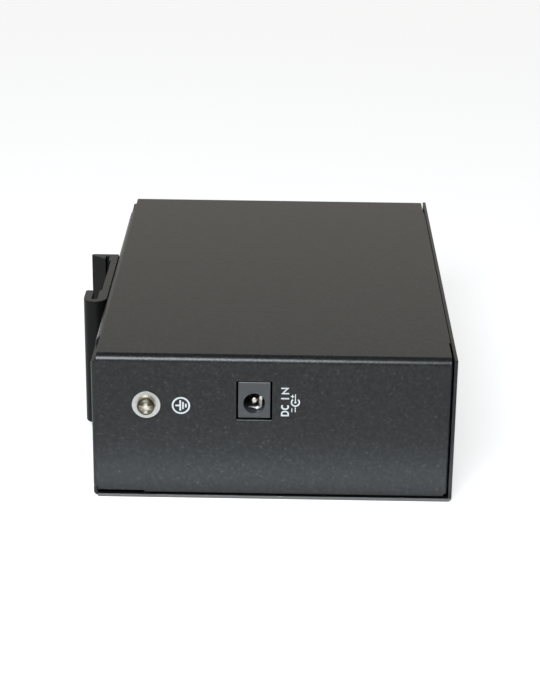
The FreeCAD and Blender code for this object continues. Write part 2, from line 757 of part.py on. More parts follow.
def port_housing(index, y):
    sides = (f"{y} - port_width / 2 + shield_gauge", f"{y} + port_width / 2 - shield_gauge")
    block = box(f"housing_block_{index}", (port_back, shield_face), sides,
                (f"{port_low} + shield_gauge", board_under))
    cavity = port_opening(f"housing_cavity_{index}", y, cavity_end)
    pockets = port_windows(f"housing_pocket_{index}", y, "window_clearance")
    return cut(f"housing_cut_{index}", block, [cavity] + pockets)


def port_wires(index, y):
    wires = []
    root_x = f"{port_front} - wire_setback - wire_root"
    for wire in range(WIRES_PER_PORT):
        name = f"wire_{index}_{wire + 1}"
        wire_y = f"{y} + {wire - (WIRES_PER_PORT - 1) / 2} * wire_pitch"
        sides = (f"{wire_y} - wire_width / 2", f"{wire_y} + wire_width / 2")
        root = box(f"{name}_root", (root_x, f"{root_x} + wire_root"), sides,
                   (f"{cavity_top} - wire_gauge", cavity_top))
        spring = box(f"{name}_spring", ("0", "wire_length"), sides, ("0", "wire_gauge"))
        spring.Placement.Rotation = Rotation(Vector(0, 1, 0), 1)
        bind(spring, "Placement.Rotation.Angle", "180 - wire_slope_angle")
        place(spring, (f"{root_x} + wire_gauge", sides[0], f"{cavity_top}"))
        wires.append(fuse(name, [root, spring]))
    return group(f"wire_set_{index}", wires)


for index, y in enumerate(port_places, start=1):
    finish(port_shield(index, y), f"port_shield_{index}")
    finish(port_housing(index, y), f"port_housing_{index}")
    finish(port_wires(index, y), f"port_contacts_{index}")
lamps = []
for index, y in enumerate(port_places, start=1):
    lamps += port_windows(f"port_lamp_{index}", y, "0")
finish(group("port_lamp_set", lamps), "port_lamps")

# Line transformers: one moulded block behind each port
transformer_front = f"{port_back} - transformer_gap"
for index, y in enumerate(port_places, start=1):
    block = box(f"transformer_block_{index}",
                (f"{transformer_front} - transformer_length", transformer_front),
                (f"{y} - transformer_width / 2", f"{y} + transformer_width / 2"),
                (f"{board_under} - transformer_height", board_under))
    finish(block, f"port_transformer_{index}")

# Power lamp: a round lamp in a moulded holder at the board's front edge
lamp_base = f"{flange_face} - seam_gap"
lamp_front = f"{right} + lamp_proud"
finish(box("lamp_block", (f"{lamp_base} - lamp_holder_depth", lamp_base),
           (f"{lamp_y} - lamp_holder_width / 2", f"{lamp_y} + lamp_holder_width / 2"),
           (f"{board_under} - lamp_holder_height", board_under)), "lamp_holder")
lamp_blank = cylinder("lamp_blank", "x", (lamp_base, lamp_y, lamp_z), "lamp_diameter / 2",
                      f"{lamp_front} - ({lamp_base})")
lamp_tip = number(lamp_front)
finish(bevelled("lamp_bevel", lamp_blank, "lamp_chamfer", lambda edge, middle: near_to(middle.x, lamp_tip)),
       "power_lamp")

# Switch chip with its heat sink, memory and crystal
chip_x = "-chip_back"
chip_y = "chip_along"


def board_block(name, x, y, length, width, height):
    """Block soldered to the component side, centred on a place."""
    return box(name, (f"{x} - {length} / 2", f"{x} + {length} / 2"),
               (f"{y} - {width} / 2", f"{y} + {width} / 2"), (f"{board_under} - {height}", board_under))


def upright(edge, middle):
    """Edges that run along Z."""
    return edge.BoundBox.ZLength > edge.BoundBox.XLength + edge.BoundBox.YLength


chip_blank = board_block("chip_blank", chip_x, chip_y, "chip_side", "chip_side", "chip_height")
finish(bevelled("chip_corners", chip_blank, "chip_chamfer", upright), "switch_chip")
sink_top = f"{board_under} - chip_height"
sink_sides = (f"{chip_x} - sink_side / 2", f"{chip_x} + sink_side / 2")
sink_parts = [box("sink_plate", sink_sides, (f"{chip_y} - sink_side / 2", f"{chip_y} + sink_side / 2"),
                  (f"{sink_top} - sink_base", sink_top))]
for fin in range(FIN_COUNT):
    fin_low = f"{chip_y} - sink_side / 2 + {fin} * (sink_side - fin_thickness) / {FIN_COUNT - 1}"
    sink_parts.append(box(f"fin_{fin + 1}", sink_sides, (fin_low, f"{fin_low} + fin_thickness"),
                          (f"{sink_top} - sink_height", f"{sink_top} - sink_base")))
finish(fuse("finned_sink", sink_parts), "heat_sink")
finish(board_block("memory_block", chip_x, "small_part_along", "memory_length", "memory_width",
                   "memory_height"), "memory_chip")
crystal_blank = board_block("crystal_can", f"{chip_x} - sink_side / 2 - crystal_width", chip_y,
                            "crystal_width", "crystal_length", "crystal_height")
finish(bevelled("crystal_corners", crystal_blank, "crystal_chamfer", upright), "crystal")

# Power supply: inductor, electrolytic capacitor, regulator and fuse near the inlet
power_x = "-power_back"
power_y = "-power_along"
inductor_blank = board_block("inductor_core", power_x, power_y, "inductor_side", "inductor_side",
                             "inductor_height")
finish(bevelled("inductor_corners", inductor_blank, "inductor_chamfer", upright), "power_inductor")
capacitor_x = f"{power_x} + inductor_side / 2 + capacitor_diameter"
finish(cylinder("capacitor_can", "z", (capacitor_x, power_y, f"{board_under} - capacitor_height"),
                "capacitor_diameter / 2", "capacitor_height"), "filter_capacitor")
finish(board_block("regulator_block", power_x, f"{power_y} + inductor_side + regulator_width / 2",
                   "regulator_length", "regulator_width", "regulator_height"), "regulator")
finish(board_block("fuse_block", f"{jack_x} + jack_width + fuse_width", f"{jack_front} + jack_length",
                   "fuse_width", "fuse_length", "fuse_height"), "fuse")

# Check every object, then write each piece to its own file
doc.recompute()
for item in doc.Objects:
    if "Invalid" in item.State or "Error" in item.State:
        raise RuntimeError(f"{item.Label} did not build: {item.State}")
for item in nodes:
    if item.Shape.isNull() or not item.Shape.isValid() or item.Shape.Volume <= 0:
        raise RuntimeError(f"{item.Label} has no valid shape")
os.makedirs("parts", exist_ok=True)
for item in nodes:
    item.Shape.exportStep(os.path.join("parts", f"{item.Label}.step"))
print(len(nodes), "pieces,", sum(len(item.Shape.Solids) for item in nodes), "solids")
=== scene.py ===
import math

import bmesh
import bpy
from mathutils import Euler, Matrix, Vector
from mathutils.bvhtree import BVHTree


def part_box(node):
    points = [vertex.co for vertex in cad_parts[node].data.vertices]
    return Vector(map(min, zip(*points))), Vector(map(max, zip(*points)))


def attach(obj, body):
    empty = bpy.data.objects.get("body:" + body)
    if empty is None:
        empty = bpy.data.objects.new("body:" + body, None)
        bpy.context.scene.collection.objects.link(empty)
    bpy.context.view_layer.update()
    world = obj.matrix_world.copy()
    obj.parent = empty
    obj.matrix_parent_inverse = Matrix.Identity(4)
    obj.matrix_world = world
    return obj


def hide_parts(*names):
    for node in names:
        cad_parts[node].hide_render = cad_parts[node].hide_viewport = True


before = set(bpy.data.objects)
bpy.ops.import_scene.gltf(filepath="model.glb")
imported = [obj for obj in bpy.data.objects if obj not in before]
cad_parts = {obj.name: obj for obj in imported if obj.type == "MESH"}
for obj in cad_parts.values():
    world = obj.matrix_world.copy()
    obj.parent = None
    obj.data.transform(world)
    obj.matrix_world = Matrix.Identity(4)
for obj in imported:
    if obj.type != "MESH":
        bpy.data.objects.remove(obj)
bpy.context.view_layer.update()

# Chassis
# One sheet of steel folded into the main plate, the back wall and two end walls, then powder coated.
# The polyester coat is black with a fine sand texture, satin, and it rounds every cut edge a little.
MM = 0.001
SHEET_EDGE = 0.22 * MM
SHEET_WELD = 0.05 * MM
WELD = 0.0005 * MM
SHARP = math.radians(35)
FLAT = math.radians(0.5)
THROWN_OFF = 0.45  # of the rounding's width
FOLDED_OVER = -0.3  # cosine of a face's turn from the surface under it
UNFOLD_SWEEPS = 12
COAT_GRAIN = 0.5 * MM
COAT_PEEL = 1.7 * MM
COAT_FLECK = 0.9 * MM
COAT_RELIEF = 0.06 * MM
SILL = 0.6 * MM
ROLL_STEPS = 4
NEAR = 0.02 * MM
LEVEL = 0.01 * MM


def linear(code):
    """Linear colour of an sRGB hex value."""
    channels = [int(code[i:i + 2], 16) / 255 for i in (1, 3, 5)]
    return (*[c / 12.92 if c <= 0.04045 else ((c + 0.055) / 1.055) ** 2.4 for c in channels], 1.0)


def add(tree, kind, inputs, stops=(), **settings):
    """Add a node with its settings; each input gets a value or a link from another node's output, and
    a colour ramp gets its stops of position and colour."""
    made = tree.nodes.new(kind)
    for name, value in settings.items():
        setattr(made, name, value)
    for key, value in inputs.items():
        if isinstance(value, bpy.types.NodeSocket):
            tree.links.new(value, made.inputs[key])
        else:
            made.inputs[key].default_value = value
    for index, (position, colour) in enumerate(stops):
        ramp = made.color_ramp.elements
        stop = ramp[index] if index < len(ramp) else ramp.new(position)
        stop.position = position
        stop.color = linear(colour)
    return made


def surface(name, **shader):
    """New material whose shader has the given plain values; returns it with its tree and shader."""
    material = bpy.data.materials.new(name)
    material.use_nodes = True
    tree = material.node_tree
    principled = tree.nodes["Principled BSDF"]
    for socket, value in shader.items():
        principled.inputs[socket.replace("_", " ")].default_value = value
    return material, tree, principled


def powder_coat(name):
    """Black fine-texture powder coat: grains of cured resin stand up a few hundredths of a millimetre on
    a slow orange-peel wave. Its colour varies at random in flecks, and the palest of them are painted
    glints, where grain tops catch the light. Drawn a little coarser than the real grain, so that it
    shows in the render."""
    material, tree, coat = surface(name, Roughness=0.32, IOR=1.41)
    place = add(tree, "ShaderNodeTexCoord", {}).outputs["Object"]
    grain = add(tree, "ShaderNodeTexNoise", {"Vector": place, "Scale": 1 / COAT_GRAIN, "Detail": 2.0})
    peel = add(tree, "ShaderNodeTexNoise", {"Vector": place, "Scale": 1 / COAT_PEEL, "Detail": 2.0})
    fleck = add(tree, "ShaderNodeTexNoise", {
        "Vector": place, "Scale": 1 / COAT_FLECK, "Detail": 4.0, "Roughness": 0.62})
    # the palest stop, #3f4242, is a painted glint of grain tops catching the light; the darker stops are
    # the coat's random tone
    colour = add(tree, "ShaderNodeValToRGB", {"Fac": fleck.outputs["Fac"]},
                 stops=((0.36, "#030404"), (0.62, "#16191a"), (0.8, "#3f4242")))
    wave = add(tree, "ShaderNodeBump", {
        "Height": peel.outputs["Fac"], "Strength": 0.3, "Distance": COAT_RELIEF})
    bump = add(tree, "ShaderNodeBump", {
        "Height": grain.outputs["Fac"], "Strength": 0.6, "Distance": COAT_RELIEF,
        "Normal": wave.outputs["Normal"]})
    tree.links.new(colour.outputs["Color"], coat.inputs["Base Color"])
    tree.links.new(bump.outputs["Normal"], coat.inputs["Normal"])
    return material


def settle(piece):
    """Turn a piece's modifiers into plain mesh."""
    bpy.context.view_layer.update()
    evaluated = piece.evaluated_get(bpy.context.evaluated_depsgraph_get())
    made = bpy.data.meshes.new_from_object(evaluated)
    piece.modifiers.clear()
    piece.data = made
    made.name = piece.name
    return piece


def new_piece(name, shape):
    """Object for a finished bmesh, at the origin."""
    mesh = bpy.data.meshes.new(name)
    shape.to_mesh(mesh)
    shape.free()
    if "custom_normal" in mesh.attributes:
        mesh.attributes.remove(mesh.attributes["custom_normal"])
    mesh.shade_smooth()
    piece = bpy.data.objects.new(name, mesh)
    bpy.context.scene.collection.objects.link(piece)
    return piece


def unfold(mesh, skin, edge):
    """Close the slivers that a rounding has folded over at a tight corner, by their shortest sides."""
    shape = bmesh.new()
    shape.from_mesh(mesh)
    for sweep in range(UNFOLD_SWEEPS):
        joins = {}
        for face in shape.faces:
            place, normal, index, distance = skin.find_nearest(face.calc_center_median())
            if distance < edge and face.normal.dot(normal) < FOLDED_OVER:
                side = min(face.edges, key=lambda line: line.calc_length())
                kept, moved = sorted(side.verts, key=lambda end: skin.find_nearest(end.co)[3])
                if not {kept, moved} & {*joins, *joins.values()}:
                    joins[moved] = kept
        if not joins:
            break
        bmesh.ops.weld_verts(shape, targetmap=joins)
        shape.normal_update()
    bmesh.ops.remove_doubles(shape, verts=shape.verts, dist=WELD)
    shape.to_mesh(mesh)
    shape.free()


def soften(piece, edge, segments=2):
    """Round the sharp edges that are long enough for it and have wide enough faces, keep the flats flat,
    and draw any corner that the rounding has thrown off the surface back to it."""
    shape = bmesh.new()
    shape.from_mesh(piece.data)
    skin = BVHTree.FromBMesh(shape)
    weight = shape.edges.layers.float.new("bevel_weight_edge")
    for line in shape.edges:
        length = line.calc_length()
        if (line.is_manifold and line.calc_face_angle() > SHARP and length > edge / 2
                and all(face.calc_area() > edge * length for face in line.link_faces)):
            line[weight] = 1.0
    shape.to_mesh(piece.data)
    shape.free()
    rounding = piece.modifiers.new("rounding", "BEVEL")
    rounding.width = edge
    rounding.segments = segments
    rounding.limit_method = "WEIGHT"
    rounding.use_clamp_overlap = False
    settle(piece)
    for corner in piece.data.vertices:
        place, normal, index, distance = skin.find_nearest(corner.co)
        if distance > edge * THROWN_OFF:
            corner.co = place
    unfold(piece.data, skin, edge)
    piece.data.set_sharp_from_angle(angle=SHARP)
    flats = piece.modifiers.new("flats", "WEIGHTED_NORMAL")
    flats.weight = 100
    flats.keep_sharp = True
    return settle(piece)


def finished(piece, body, slot, material, *nodes):
    """Give a piece its finish and its body, and let it stand for its solids."""
    piece.data.materials.clear()
    piece.data.materials.append(material)
    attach(piece, body)
    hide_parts(*nodes)
    return piece


def merged(node, weld=WELD):
    """Mesh of a solid with its loose triangles joined into whole faces."""
    shape = bmesh.new()
    shape.from_mesh(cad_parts[node].data)
    bmesh.ops.remove_doubles(shape, verts=shape.verts, dist=weld)
    bmesh.ops.dissolve_degenerate(shape, edges=shape.edges, dist=weld)
    bmesh.ops.dissolve_limit(shape, angle_limit=FLAT, verts=shape.verts, edges=shape.edges)
    return shape


def from_solid(name, node, edge, **weld):
    """Copy of a solid with softly rounded edges."""
    return soften(new_piece(name, merged(node, **weld)), edge)


def roll_over(shape, radius, chosen):
    """Give the edges whose two ends are chosen, and lie at one depth, a larger rounding of their own."""
    lines = [line for line in shape.edges if all(chosen(end.co) for end in line.verts)
             and abs(line.verts[0].co.y - line.verts[1].co.y) < LEVEL]
    bmesh.ops.bevel(shape, geom=lines, offset=radius, segments=ROLL_STEPS, profile=0.5, affect="EDGES")
    return shape


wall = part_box("chassis")[0].y
hole_low, hole_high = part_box("dc_jack_body")
sheet = merged("chassis", SHEET_WELD)


def on_sill(end):
    """True at the ends of the inlet hole's lower edge, which the punch has rolled over."""
    in_width = hole_low.x - MM < end.x < hole_high.x + MM
    at_foot = hole_low.z - MM < end.z < hole_low.z + NEAR
    return end.y < wall + NEAR and in_width and at_foot


# The wall's outside is cut upright at both ends of that edge, so that its rounding stops there.
for across in sorted({end.co.x for end in sheet.verts if on_sill(end.co)}):
    outside = [face for face in sheet.faces if face.calc_center_median().y < wall + NEAR]
    rims = dict.fromkeys(part for face in outside for part in (*face.edges, *face.verts))
    bmesh.ops.bisect_plane(sheet, geom=[*outside, *rims], dist=NEAR, plane_co=(across, 0, 0),
                           plane_no=(1, 0, 0))
sheet = roll_over(sheet, SILL, on_sill)
finished(soften(new_piece("chassis_sheet", sheet), SHEET_EDGE), "case", "powder_coat",
         powder_coat("black_powder_coat"), "chassis")

# Circuit board and what is soldered to it
# A glass-epoxy board with green solder mask hangs component side down on four plated steel pillars.
# None of it shows from outside, so the solids keep their form and get the finish of the real parts.
MASK_CLOUD = 9 * MM
MOULD_GRAIN = 0.4 * MM
MOULD_RELIEF = 0.01 * MM
DRAWN_STREAK = 0.25 * MM
STREAK_DARK, STREAK_LIGHT = 0.3, 0.7
DULLER, BRIGHTER = 1.25, 0.8
PORT_COUNT = 5
EVEN = (1.0, 1.0, 1.0)
ALONG_Z = (1.0, 1.0, 0.04)


def moulded(name, colour, shade, roughness, grain=MOULD_GRAIN):
    """Moulded plastic or ceramic: faint cloudy colour and the fine spark-eroded grain of its mould,
    drawn coarser than the real grain, so that it shows in the render."""
    material, tree, skin = surface(name, Roughness=roughness, IOR=1.52)
    place = add(tree, "ShaderNodeTexCoord", {}).outputs["Object"]
    texture = add(tree, "ShaderNodeTexNoise", {"Vector": place, "Scale": 1 / grain, "Detail": 3.0})
    mix = add(tree, "ShaderNodeValToRGB", {"Fac": texture.outputs["Fac"]},
              stops=((0.0, shade), (1.0, colour)))
    bump = add(tree, "ShaderNodeBump", {
        "Height": texture.outputs["Fac"], "Strength": 0.2, "Distance": MOULD_RELIEF})
    tree.links.new(mix.outputs["Color"], skin.inputs["Base Color"])
    tree.links.new(bump.outputs["Normal"], skin.inputs["Normal"])
    return material


def plated(name, colour, shade, roughness, streak, stretch=EVEN):
    """Plated or drawn metal: fine lines left by rolling or turning under a bright coat, drawn coarser than
    the real ones, so that they show in the render."""
    material, tree, skin = surface(name, Metallic=1.0, Roughness=roughness)
    place = add(tree, "ShaderNodeTexCoord", {}).outputs["Object"]
    along = add(tree, "ShaderNodeMapping", {"Vector": place, "Scale": stretch})
    lines = add(tree, "ShaderNodeTexNoise", {
        "Vector": along.outputs["Vector"], "Scale": 1 / streak, "Detail": 4.0})
    mix = add(tree, "ShaderNodeValToRGB", {"Fac": lines.outputs["Fac"]},
              stops=((STREAK_DARK, shade), (STREAK_LIGHT, colour)))
    dull = add(tree, "ShaderNodeMapRange", {
        "Value": lines.outputs["Fac"], "From Min": STREAK_DARK, "From Max": STREAK_LIGHT,
        "To Min": roughness * DULLER, "To Max": roughness * BRIGHTER})
    tree.links.new(mix.outputs["Color"], skin.inputs["Base Color"])
    tree.links.new(dull.outputs["Result"], skin.inputs["Roughness"])
    return material


def dress(material, *nodes):
    """Give solids that stay in view their finish."""
    for name in nodes:
        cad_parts[name].data.materials.clear()
        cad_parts[name].data.materials.append(material)


solder_mask = moulded("green_solder_mask", "#1f6a3d", "#175431", roughness=0.3, grain=MASK_CLOUD)
black_mould = moulded("black_epoxy_mould", "#1c1c1d", "#141415", roughness=0.5)
ferrite = moulded("sintered_ferrite", "#3a3a3a", "#2c2c2d", roughness=0.65)
ceramic = moulded("pale_ceramic", "#d8d2c2", "#c9c2b0", roughness=0.35)
zinc = plated("zinc_plated_steel", "#c9cbcc", "#a9acae", roughness=0.32, streak=DRAWN_STREAK)
can = plated("drawn_aluminium_can", "#d4d5d6", "#b9bbbc", roughness=0.3, streak=DRAWN_STREAK,
             stretch=ALONG_Z)
sink = plated("black_anodised_sink", "#3a3b3c", "#2b2c2d", roughness=0.45, streak=DRAWN_STREAK,
              stretch=ALONG_Z)
ports = range(1, PORT_COUNT + 1)
dress(solder_mask, "circuit_board")
dress(black_mould, "switch_chip", "memory_chip", "regulator", "lamp_holder",
      *[f"port_transformer_{port}" for port in ports])
dress(ferrite, "power_inductor")
dress(ceramic, "fuse")
dress(zinc, "board_standoffs", "board_screws", "crystal", "cover_nuts", "cover_pillars", "clip_nuts",
      "ground_nut")
dress(can, "filter_capacitor")
dress(sink, "heat_sink")

# Network ports
# Each is a black moulded housing in a folded tin-plated shield, soldered to the board. Eight gold-plated
# spring wires slope back into the opening, and two small lamp windows sit beside the latch.
SHIELD_EDGE = 0.07 * MM
HOUSING_EDGE = 0.12 * MM
FINE_EDGE = 0.05 * MM
WIRE_COUNT = 8
WIRE_WIDTH = 0.4 * MM
WIRE_GAUGE = 0.3 * MM
WIRE_ROOT = 2.2 * MM
WIRE_BEND = 0.6 * MM
KNEE_STEPS = 6
ROLLED_STREAK = 0.5 * MM
FINE_STREAK = 0.2 * MM
ALONG_X = (0.2, 1.0, 1.0)
ALONG_Y = (1.0, 0.2, 1.0)


def row_tree():
    """Geometry tree that sets copies of one piece in a straight row and gives them one finish."""
    tree = bpy.data.node_groups.new("row_of_pieces", "GeometryNodeTree")
    tree.interface.new_socket("Geometry", in_out="OUTPUT", socket_type="NodeSocketGeometry")
    for name, kind in (("Piece", "Object"), ("Count", "Int"), ("First", "Vector"), ("Step", "Vector"),
                       ("Turn", "Vector"), ("Finish", "Material")):
        tree.interface.new_socket(name, in_out="INPUT", socket_type=f"NodeSocket{kind}")
    given = add(tree, "NodeGroupInput", {}).outputs
    line = add(tree, "GeometryNodeMeshLine", {
        "Count": given["Count"], "Start Location": given["First"], "Offset": given["Step"]}, mode="OFFSET")
    piece = add(tree, "GeometryNodeObjectInfo", {"Object": given["Piece"]})
    turn = add(tree, "FunctionNodeEulerToRotation", {"Euler": given["Turn"]})
    copies = add(tree, "GeometryNodeInstanceOnPoints", {
        "Points": line.outputs["Mesh"], "Instance": piece.outputs["Geometry"],
        "Rotation": turn.outputs["Rotation"]})
    solid = add(tree, "GeometryNodeRealizeInstances", {"Geometry": copies.outputs["Instances"]})
    done = add(tree, "GeometryNodeSetMaterial", {
        "Geometry": solid.outputs["Geometry"], "Material": given["Finish"]})
    add(tree, "NodeGroupOutput", {"Geometry": done.outputs["Geometry"]})
    return tree


row_of_pieces = row_tree()


def row(name, piece, finish, count, first, step, turn=(0.0, 0.0, 0.0)):
    """Plain mesh of a row of copies of one piece."""
    made = bpy.data.objects.new(name, bpy.data.meshes.new(name))
    bpy.context.scene.collection.objects.link(made)
    modifier = made.modifiers.new("row", "NODES")
    modifier.node_group = row_of_pieces
    values = {"Piece": piece, "Count": count, "First": Vector(first), "Step": Vector(step),
              "Turn": Vector(turn), "Finish": finish}
    for item in row_of_pieces.interface.items_tree:
        if item.in_out == "INPUT":
            modifier[item.identifier] = values[item.name]
    return settle(made)


def discard(piece):
    """Remove a piece that only served to make another."""
    bpy.data.objects.remove(piece)


def enclose(shape, rings, endless=False):
    """Skin round a run of rings of corners, which either joins up with its start or has closed ends."""
    pairs = list(zip(rings, rings[1:]))
    if endless:
        pairs.append((rings[-1], rings[0]))
    for ring, following in pairs:
        for i in range(len(ring)):
            j = (i + 1) % len(ring)
            shape.faces.new((ring[i], ring[j], following[j], following[i]))
    if not endless:
        shape.faces.new(rings[0])
        shape.faces.new(rings[-1])


def spring_wire(length, drop):
    """One contact: flat at its root, then bent in a round knee and sloping down to its free end.
    It runs from the origin towards -X."""
    slope = math.atan2(drop, length - WIRE_ROOT)
    start = Vector((-(WIRE_ROOT - WIRE_BEND), 0.0))
    corner = Vector((-WIRE_ROOT, 0.0))
    after = Vector((-WIRE_ROOT - WIRE_BEND * math.cos(slope), -WIRE_BEND * math.sin(slope)))
    line = [(0.0, 0.0), start]
    for step in range(1, KNEE_STEPS):
        share = step / KNEE_STEPS
        line.append(start * (1 - share) ** 2 + corner * 2 * share * (1 - share) + after * share ** 2)
    line.append((-length, -drop))
    shape = bmesh.new()
    rings = []
    for x, z in line:
        rings.append([shape.verts.new((x, side * WIRE_WIDTH / 2, z - down * WIRE_GAUGE))
                      for side, down in ((-1, 0), (1, 0), (1, 1), (-1, 1))])
    enclose(shape, rings)
    bmesh.ops.recalc_face_normals(shape, faces=shape.faces)
    return soften(new_piece("spring_wire", shape), FINE_EDGE)


tin = plated("tin_plated_shield", "#c6c7c6", "#aeb0b0", roughness=0.3, streak=ROLLED_STREAK,
             stretch=ALONG_Y)
gold = plated("gold_plated_wire", "#e3bd68", "#c79d49", roughness=0.22, streak=FINE_STREAK,
              stretch=ALONG_X)
low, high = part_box("port_contacts_1")
wire_pitch = (high.y - low.y - WIRE_WIDTH) / (WIRE_COUNT - 1)
wire = spring_wire(high.x - low.x, high.z - low.z - WIRE_GAUGE)
for port in ports:
    shell = from_solid(f"port_shell_{port}", f"port_shield_{port}", SHIELD_EDGE)
    finished(shell, "case", "tin_shield", tin, f"port_shield_{port}")
    mould = from_solid(f"port_mould_{port}", f"port_housing_{port}", HOUSING_EDGE)
    finished(mould, "case", "black_plastic", black_mould, f"port_housing_{port}")
    low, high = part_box(f"port_contacts_{port}")
    wires = row(f"port_wires_{port}", wire, gold, WIRE_COUNT, (high.x, low.y + WIRE_WIDTH / 2, high.z),
                (0.0, wire_pitch, 0.0))
    finished(wires, "case", "gold_contact", gold, f"port_contacts_{port}")
discard(wire)

# Lamps
# Small windows of tinted clear epoxy, moulded in one go: a green and an amber one in each port face,
# and one round green power lamp that stands out of the front panel with a domed end.
LAMP_EDGE = 0.25 * MM
LAMP_EDGE_STEPS = 3
WINDOW_WIDTH = 3.0 * MM
DOME = 0.9 * MM
DOME_STEPS = 10
TURN_STEPS = 40
EPOXY_DEPTH = 1.0 * MM
EPOXY_CLOUD = 1.5 * MM
TO_FRONT = (0.0, math.pi / 2, 0.0)


def epoxy(name, colour, shade):
    """Tinted clear epoxy: a glossy skin over a body that lets light in and glows with its own tint."""
    material, tree, skin = surface(name, Roughness=0.12, IOR=1.54, Subsurface_Weight=0.35,
                                   Subsurface_Scale=EPOXY_DEPTH, Coat_Weight=0.4, Coat_Roughness=0.05)
    place = add(tree, "ShaderNodeTexCoord", {}).outputs["Object"]
    cloud = add(tree, "ShaderNodeTexNoise", {"Vector": place, "Scale": 1 / EPOXY_CLOUD, "Detail": 2.0})
    mix = add(tree, "ShaderNodeValToRGB", {"Fac": cloud.outputs["Fac"]},
              stops=((0.0, shade), (1.0, colour)))
    tree.links.new(mix.outputs["Color"], skin.inputs["Base Color"])
    return material


def quarter_turn(steps):
    """Angles of a quarter turn in even steps, both ends included."""
    return [math.pi / 2 * step / steps for step in range(steps + 1)]


def turned(name, outline):
    """Body of revolution about Z from an outline of (radius, height) that starts and ends on the axis."""
    shape = bmesh.new()
    points = [shape.verts.new((radius, 0.0, height)) for radius, height in outline]
    edges = [shape.edges.new(pair) for pair in zip(points, points[1:])]
    bmesh.ops.spin(shape, geom=points + edges, cent=(0, 0, 0), axis=(0, 0, 1), angle=2 * math.pi,
                   steps=TURN_STEPS, use_duplicate=False)
    bmesh.ops.remove_doubles(shape, verts=shape.verts, dist=WELD)
    bmesh.ops.recalc_face_normals(shape, faces=shape.faces)
    return new_piece(name, shape)


def stood(piece, place, turn):
    """Turn a piece that was made about Z and move it to its place, in its mesh."""
    piece.data.transform(Matrix.Translation(place) @ Euler(turn).to_matrix().to_4x4())
    return piece


def block(name, low, high, edge):
    """Rounded block between two corners."""
    shape = bmesh.new()
    bmesh.ops.create_cube(shape, size=1.0)
    size = Vector(high) - Vector(low)
    middle = (Vector(high) + Vector(low)) / 2
    bmesh.ops.transform(shape, matrix=Matrix.Translation(middle) @ Matrix.Diagonal((*size, 1.0)),
                        verts=shape.verts)
    return soften(new_piece(name, shape), edge, LAMP_EDGE_STEPS)


green = epoxy("green_tinted_epoxy", "#4fae5a", "#2f8a45")
amber = epoxy("amber_tinted_epoxy", "#e0a43a", "#bd7f22")
low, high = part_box("port_lamps")
first_shield, last_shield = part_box(f"port_shield_{ports[0]}"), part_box(f"port_shield_{ports[-1]}")
port_pitch = (last_shield[0].y - first_shield[0].y) / (PORT_COUNT - 1)
first_port = (first_shield[0].y + first_shield[1].y) / 2
spread = first_port - low.y
for name, finish, start in (("port_lamps_green", green, -spread),
                            ("port_lamps_amber", amber, spread - WINDOW_WIDTH)):
    window = block("window", (low.x, 0.0, low.z), (high.x, WINDOW_WIDTH, high.z), LAMP_EDGE)
    lamps = row(name, window, finish, PORT_COUNT, (0.0, first_port + start, 0.0), (0.0, port_pitch, 0.0))
    discard(window)
    finished(lamps, "case", "lamp_epoxy", finish, "port_lamps")
low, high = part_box("power_lamp")
lamp_radius = (high.y - low.y) / 2
lamp_length = high.x - low.x
lens = [(0.0, 0.0), (lamp_radius, 0.0)]
for turn in quarter_turn(DOME_STEPS):
    lens.append((lamp_radius * math.cos(turn), lamp_length - DOME + DOME * math.sin(turn)))
lens_place = (low.x, (low.y + high.y) / 2, (low.z + high.z) / 2)
power_lens = stood(turned("power_lens", lens), lens_place, TO_FRONT)
finished(soften(power_lens, FINE_EDGE), "case", "lamp_epoxy", green, "power_lamp")

# Power inlet
# A black moulded block behind a square hole in the near end wall, with a round bore for the plug,
# a nickel-plated centre pin, and a folded leaf of plated bronze that presses on the plug's sleeve.
INLET_EDGE = 0.18 * MM
INLET_GRAIN = 0.5 * MM
BROW = 0.45 * MM
PIN_EDGE = 0.03 * MM
PIN_ROUND = 0.66 * MM
TURNED_STREAK = 0.3 * MM
LEAF_GAUGE = 0.22 * MM
LEAF_REACH = 2.85 * MM
LEAF_LEFT, LEAF_TOP = -1.6 * MM, 1.7 * MM
LEAF_FLOOR, LEAF_SIDE, LEAF_ROUND = -1.9 * MM, 1.2 * MM, 0.5 * MM
FLOOR_FLARE, LEAF_FLARE, TOP_FLARE, TAIL_FLARE = 0.2 * MM, 0.95 * MM, 1.05 * MM, 0.5 * MM
LEAF_SLANT, SLANT_FROM = 1.9 * MM, 0.4
LEAF_LIP, LIP_LOSS = 0.45 * MM, 0.7
LIP_CURVE = ((0.0, 1.0), (0.55, 0.35), (1.0, 0.08), (1.8, 0.0))
LEAF_STEPS, FOLD_STEPS = 4, 6
TO_NEAR_END = (math.pi / 2, 0.0, 0.0)


def leaf_outline():
    """Points across the leaf from the floor's free edge to the top of its side, each with the way out
    of the leaf, the flare and lean of the front lip there, and the lip's length."""
    fold = Vector((LEAF_SIDE - LEAF_ROUND, LEAF_FLOOR + LEAF_ROUND))
    outline = []
    for i in range(LEAF_STEPS + 1):
        point = Vector((LEAF_LEFT + (fold.x - LEAF_LEFT) * i / LEAF_STEPS, LEAF_FLOOR))
        flare = FLOOR_FLARE + (LEAF_FLARE - FLOOR_FLARE) * (i / LEAF_STEPS) ** 3
        outline.append((point, Vector((0, -1)), flare, 0.0, LEAF_LIP))
    for turn in quarter_turn(FOLD_STEPS)[1:-1]:
        out = Vector((math.sin(turn), -math.cos(turn)))
        outline.append((fold + out * LEAF_ROUND, out, LEAF_FLARE, 0.0, LEAF_LIP))
    for i in range(LEAF_STEPS + 1):
        share = i / LEAF_STEPS
        point = Vector((LEAF_SIDE, fold.y + (LEAF_TOP - fold.y) * share))
        flare = LEAF_FLARE + (TOP_FLARE - LEAF_FLARE) * share
        lean = LEAF_SLANT * max(0.0, share - SLANT_FROM)
        outline.append((point, Vector((1, 0)), flare, lean, LEAF_LIP * (1 - LIP_LOSS * share)))
    return outline


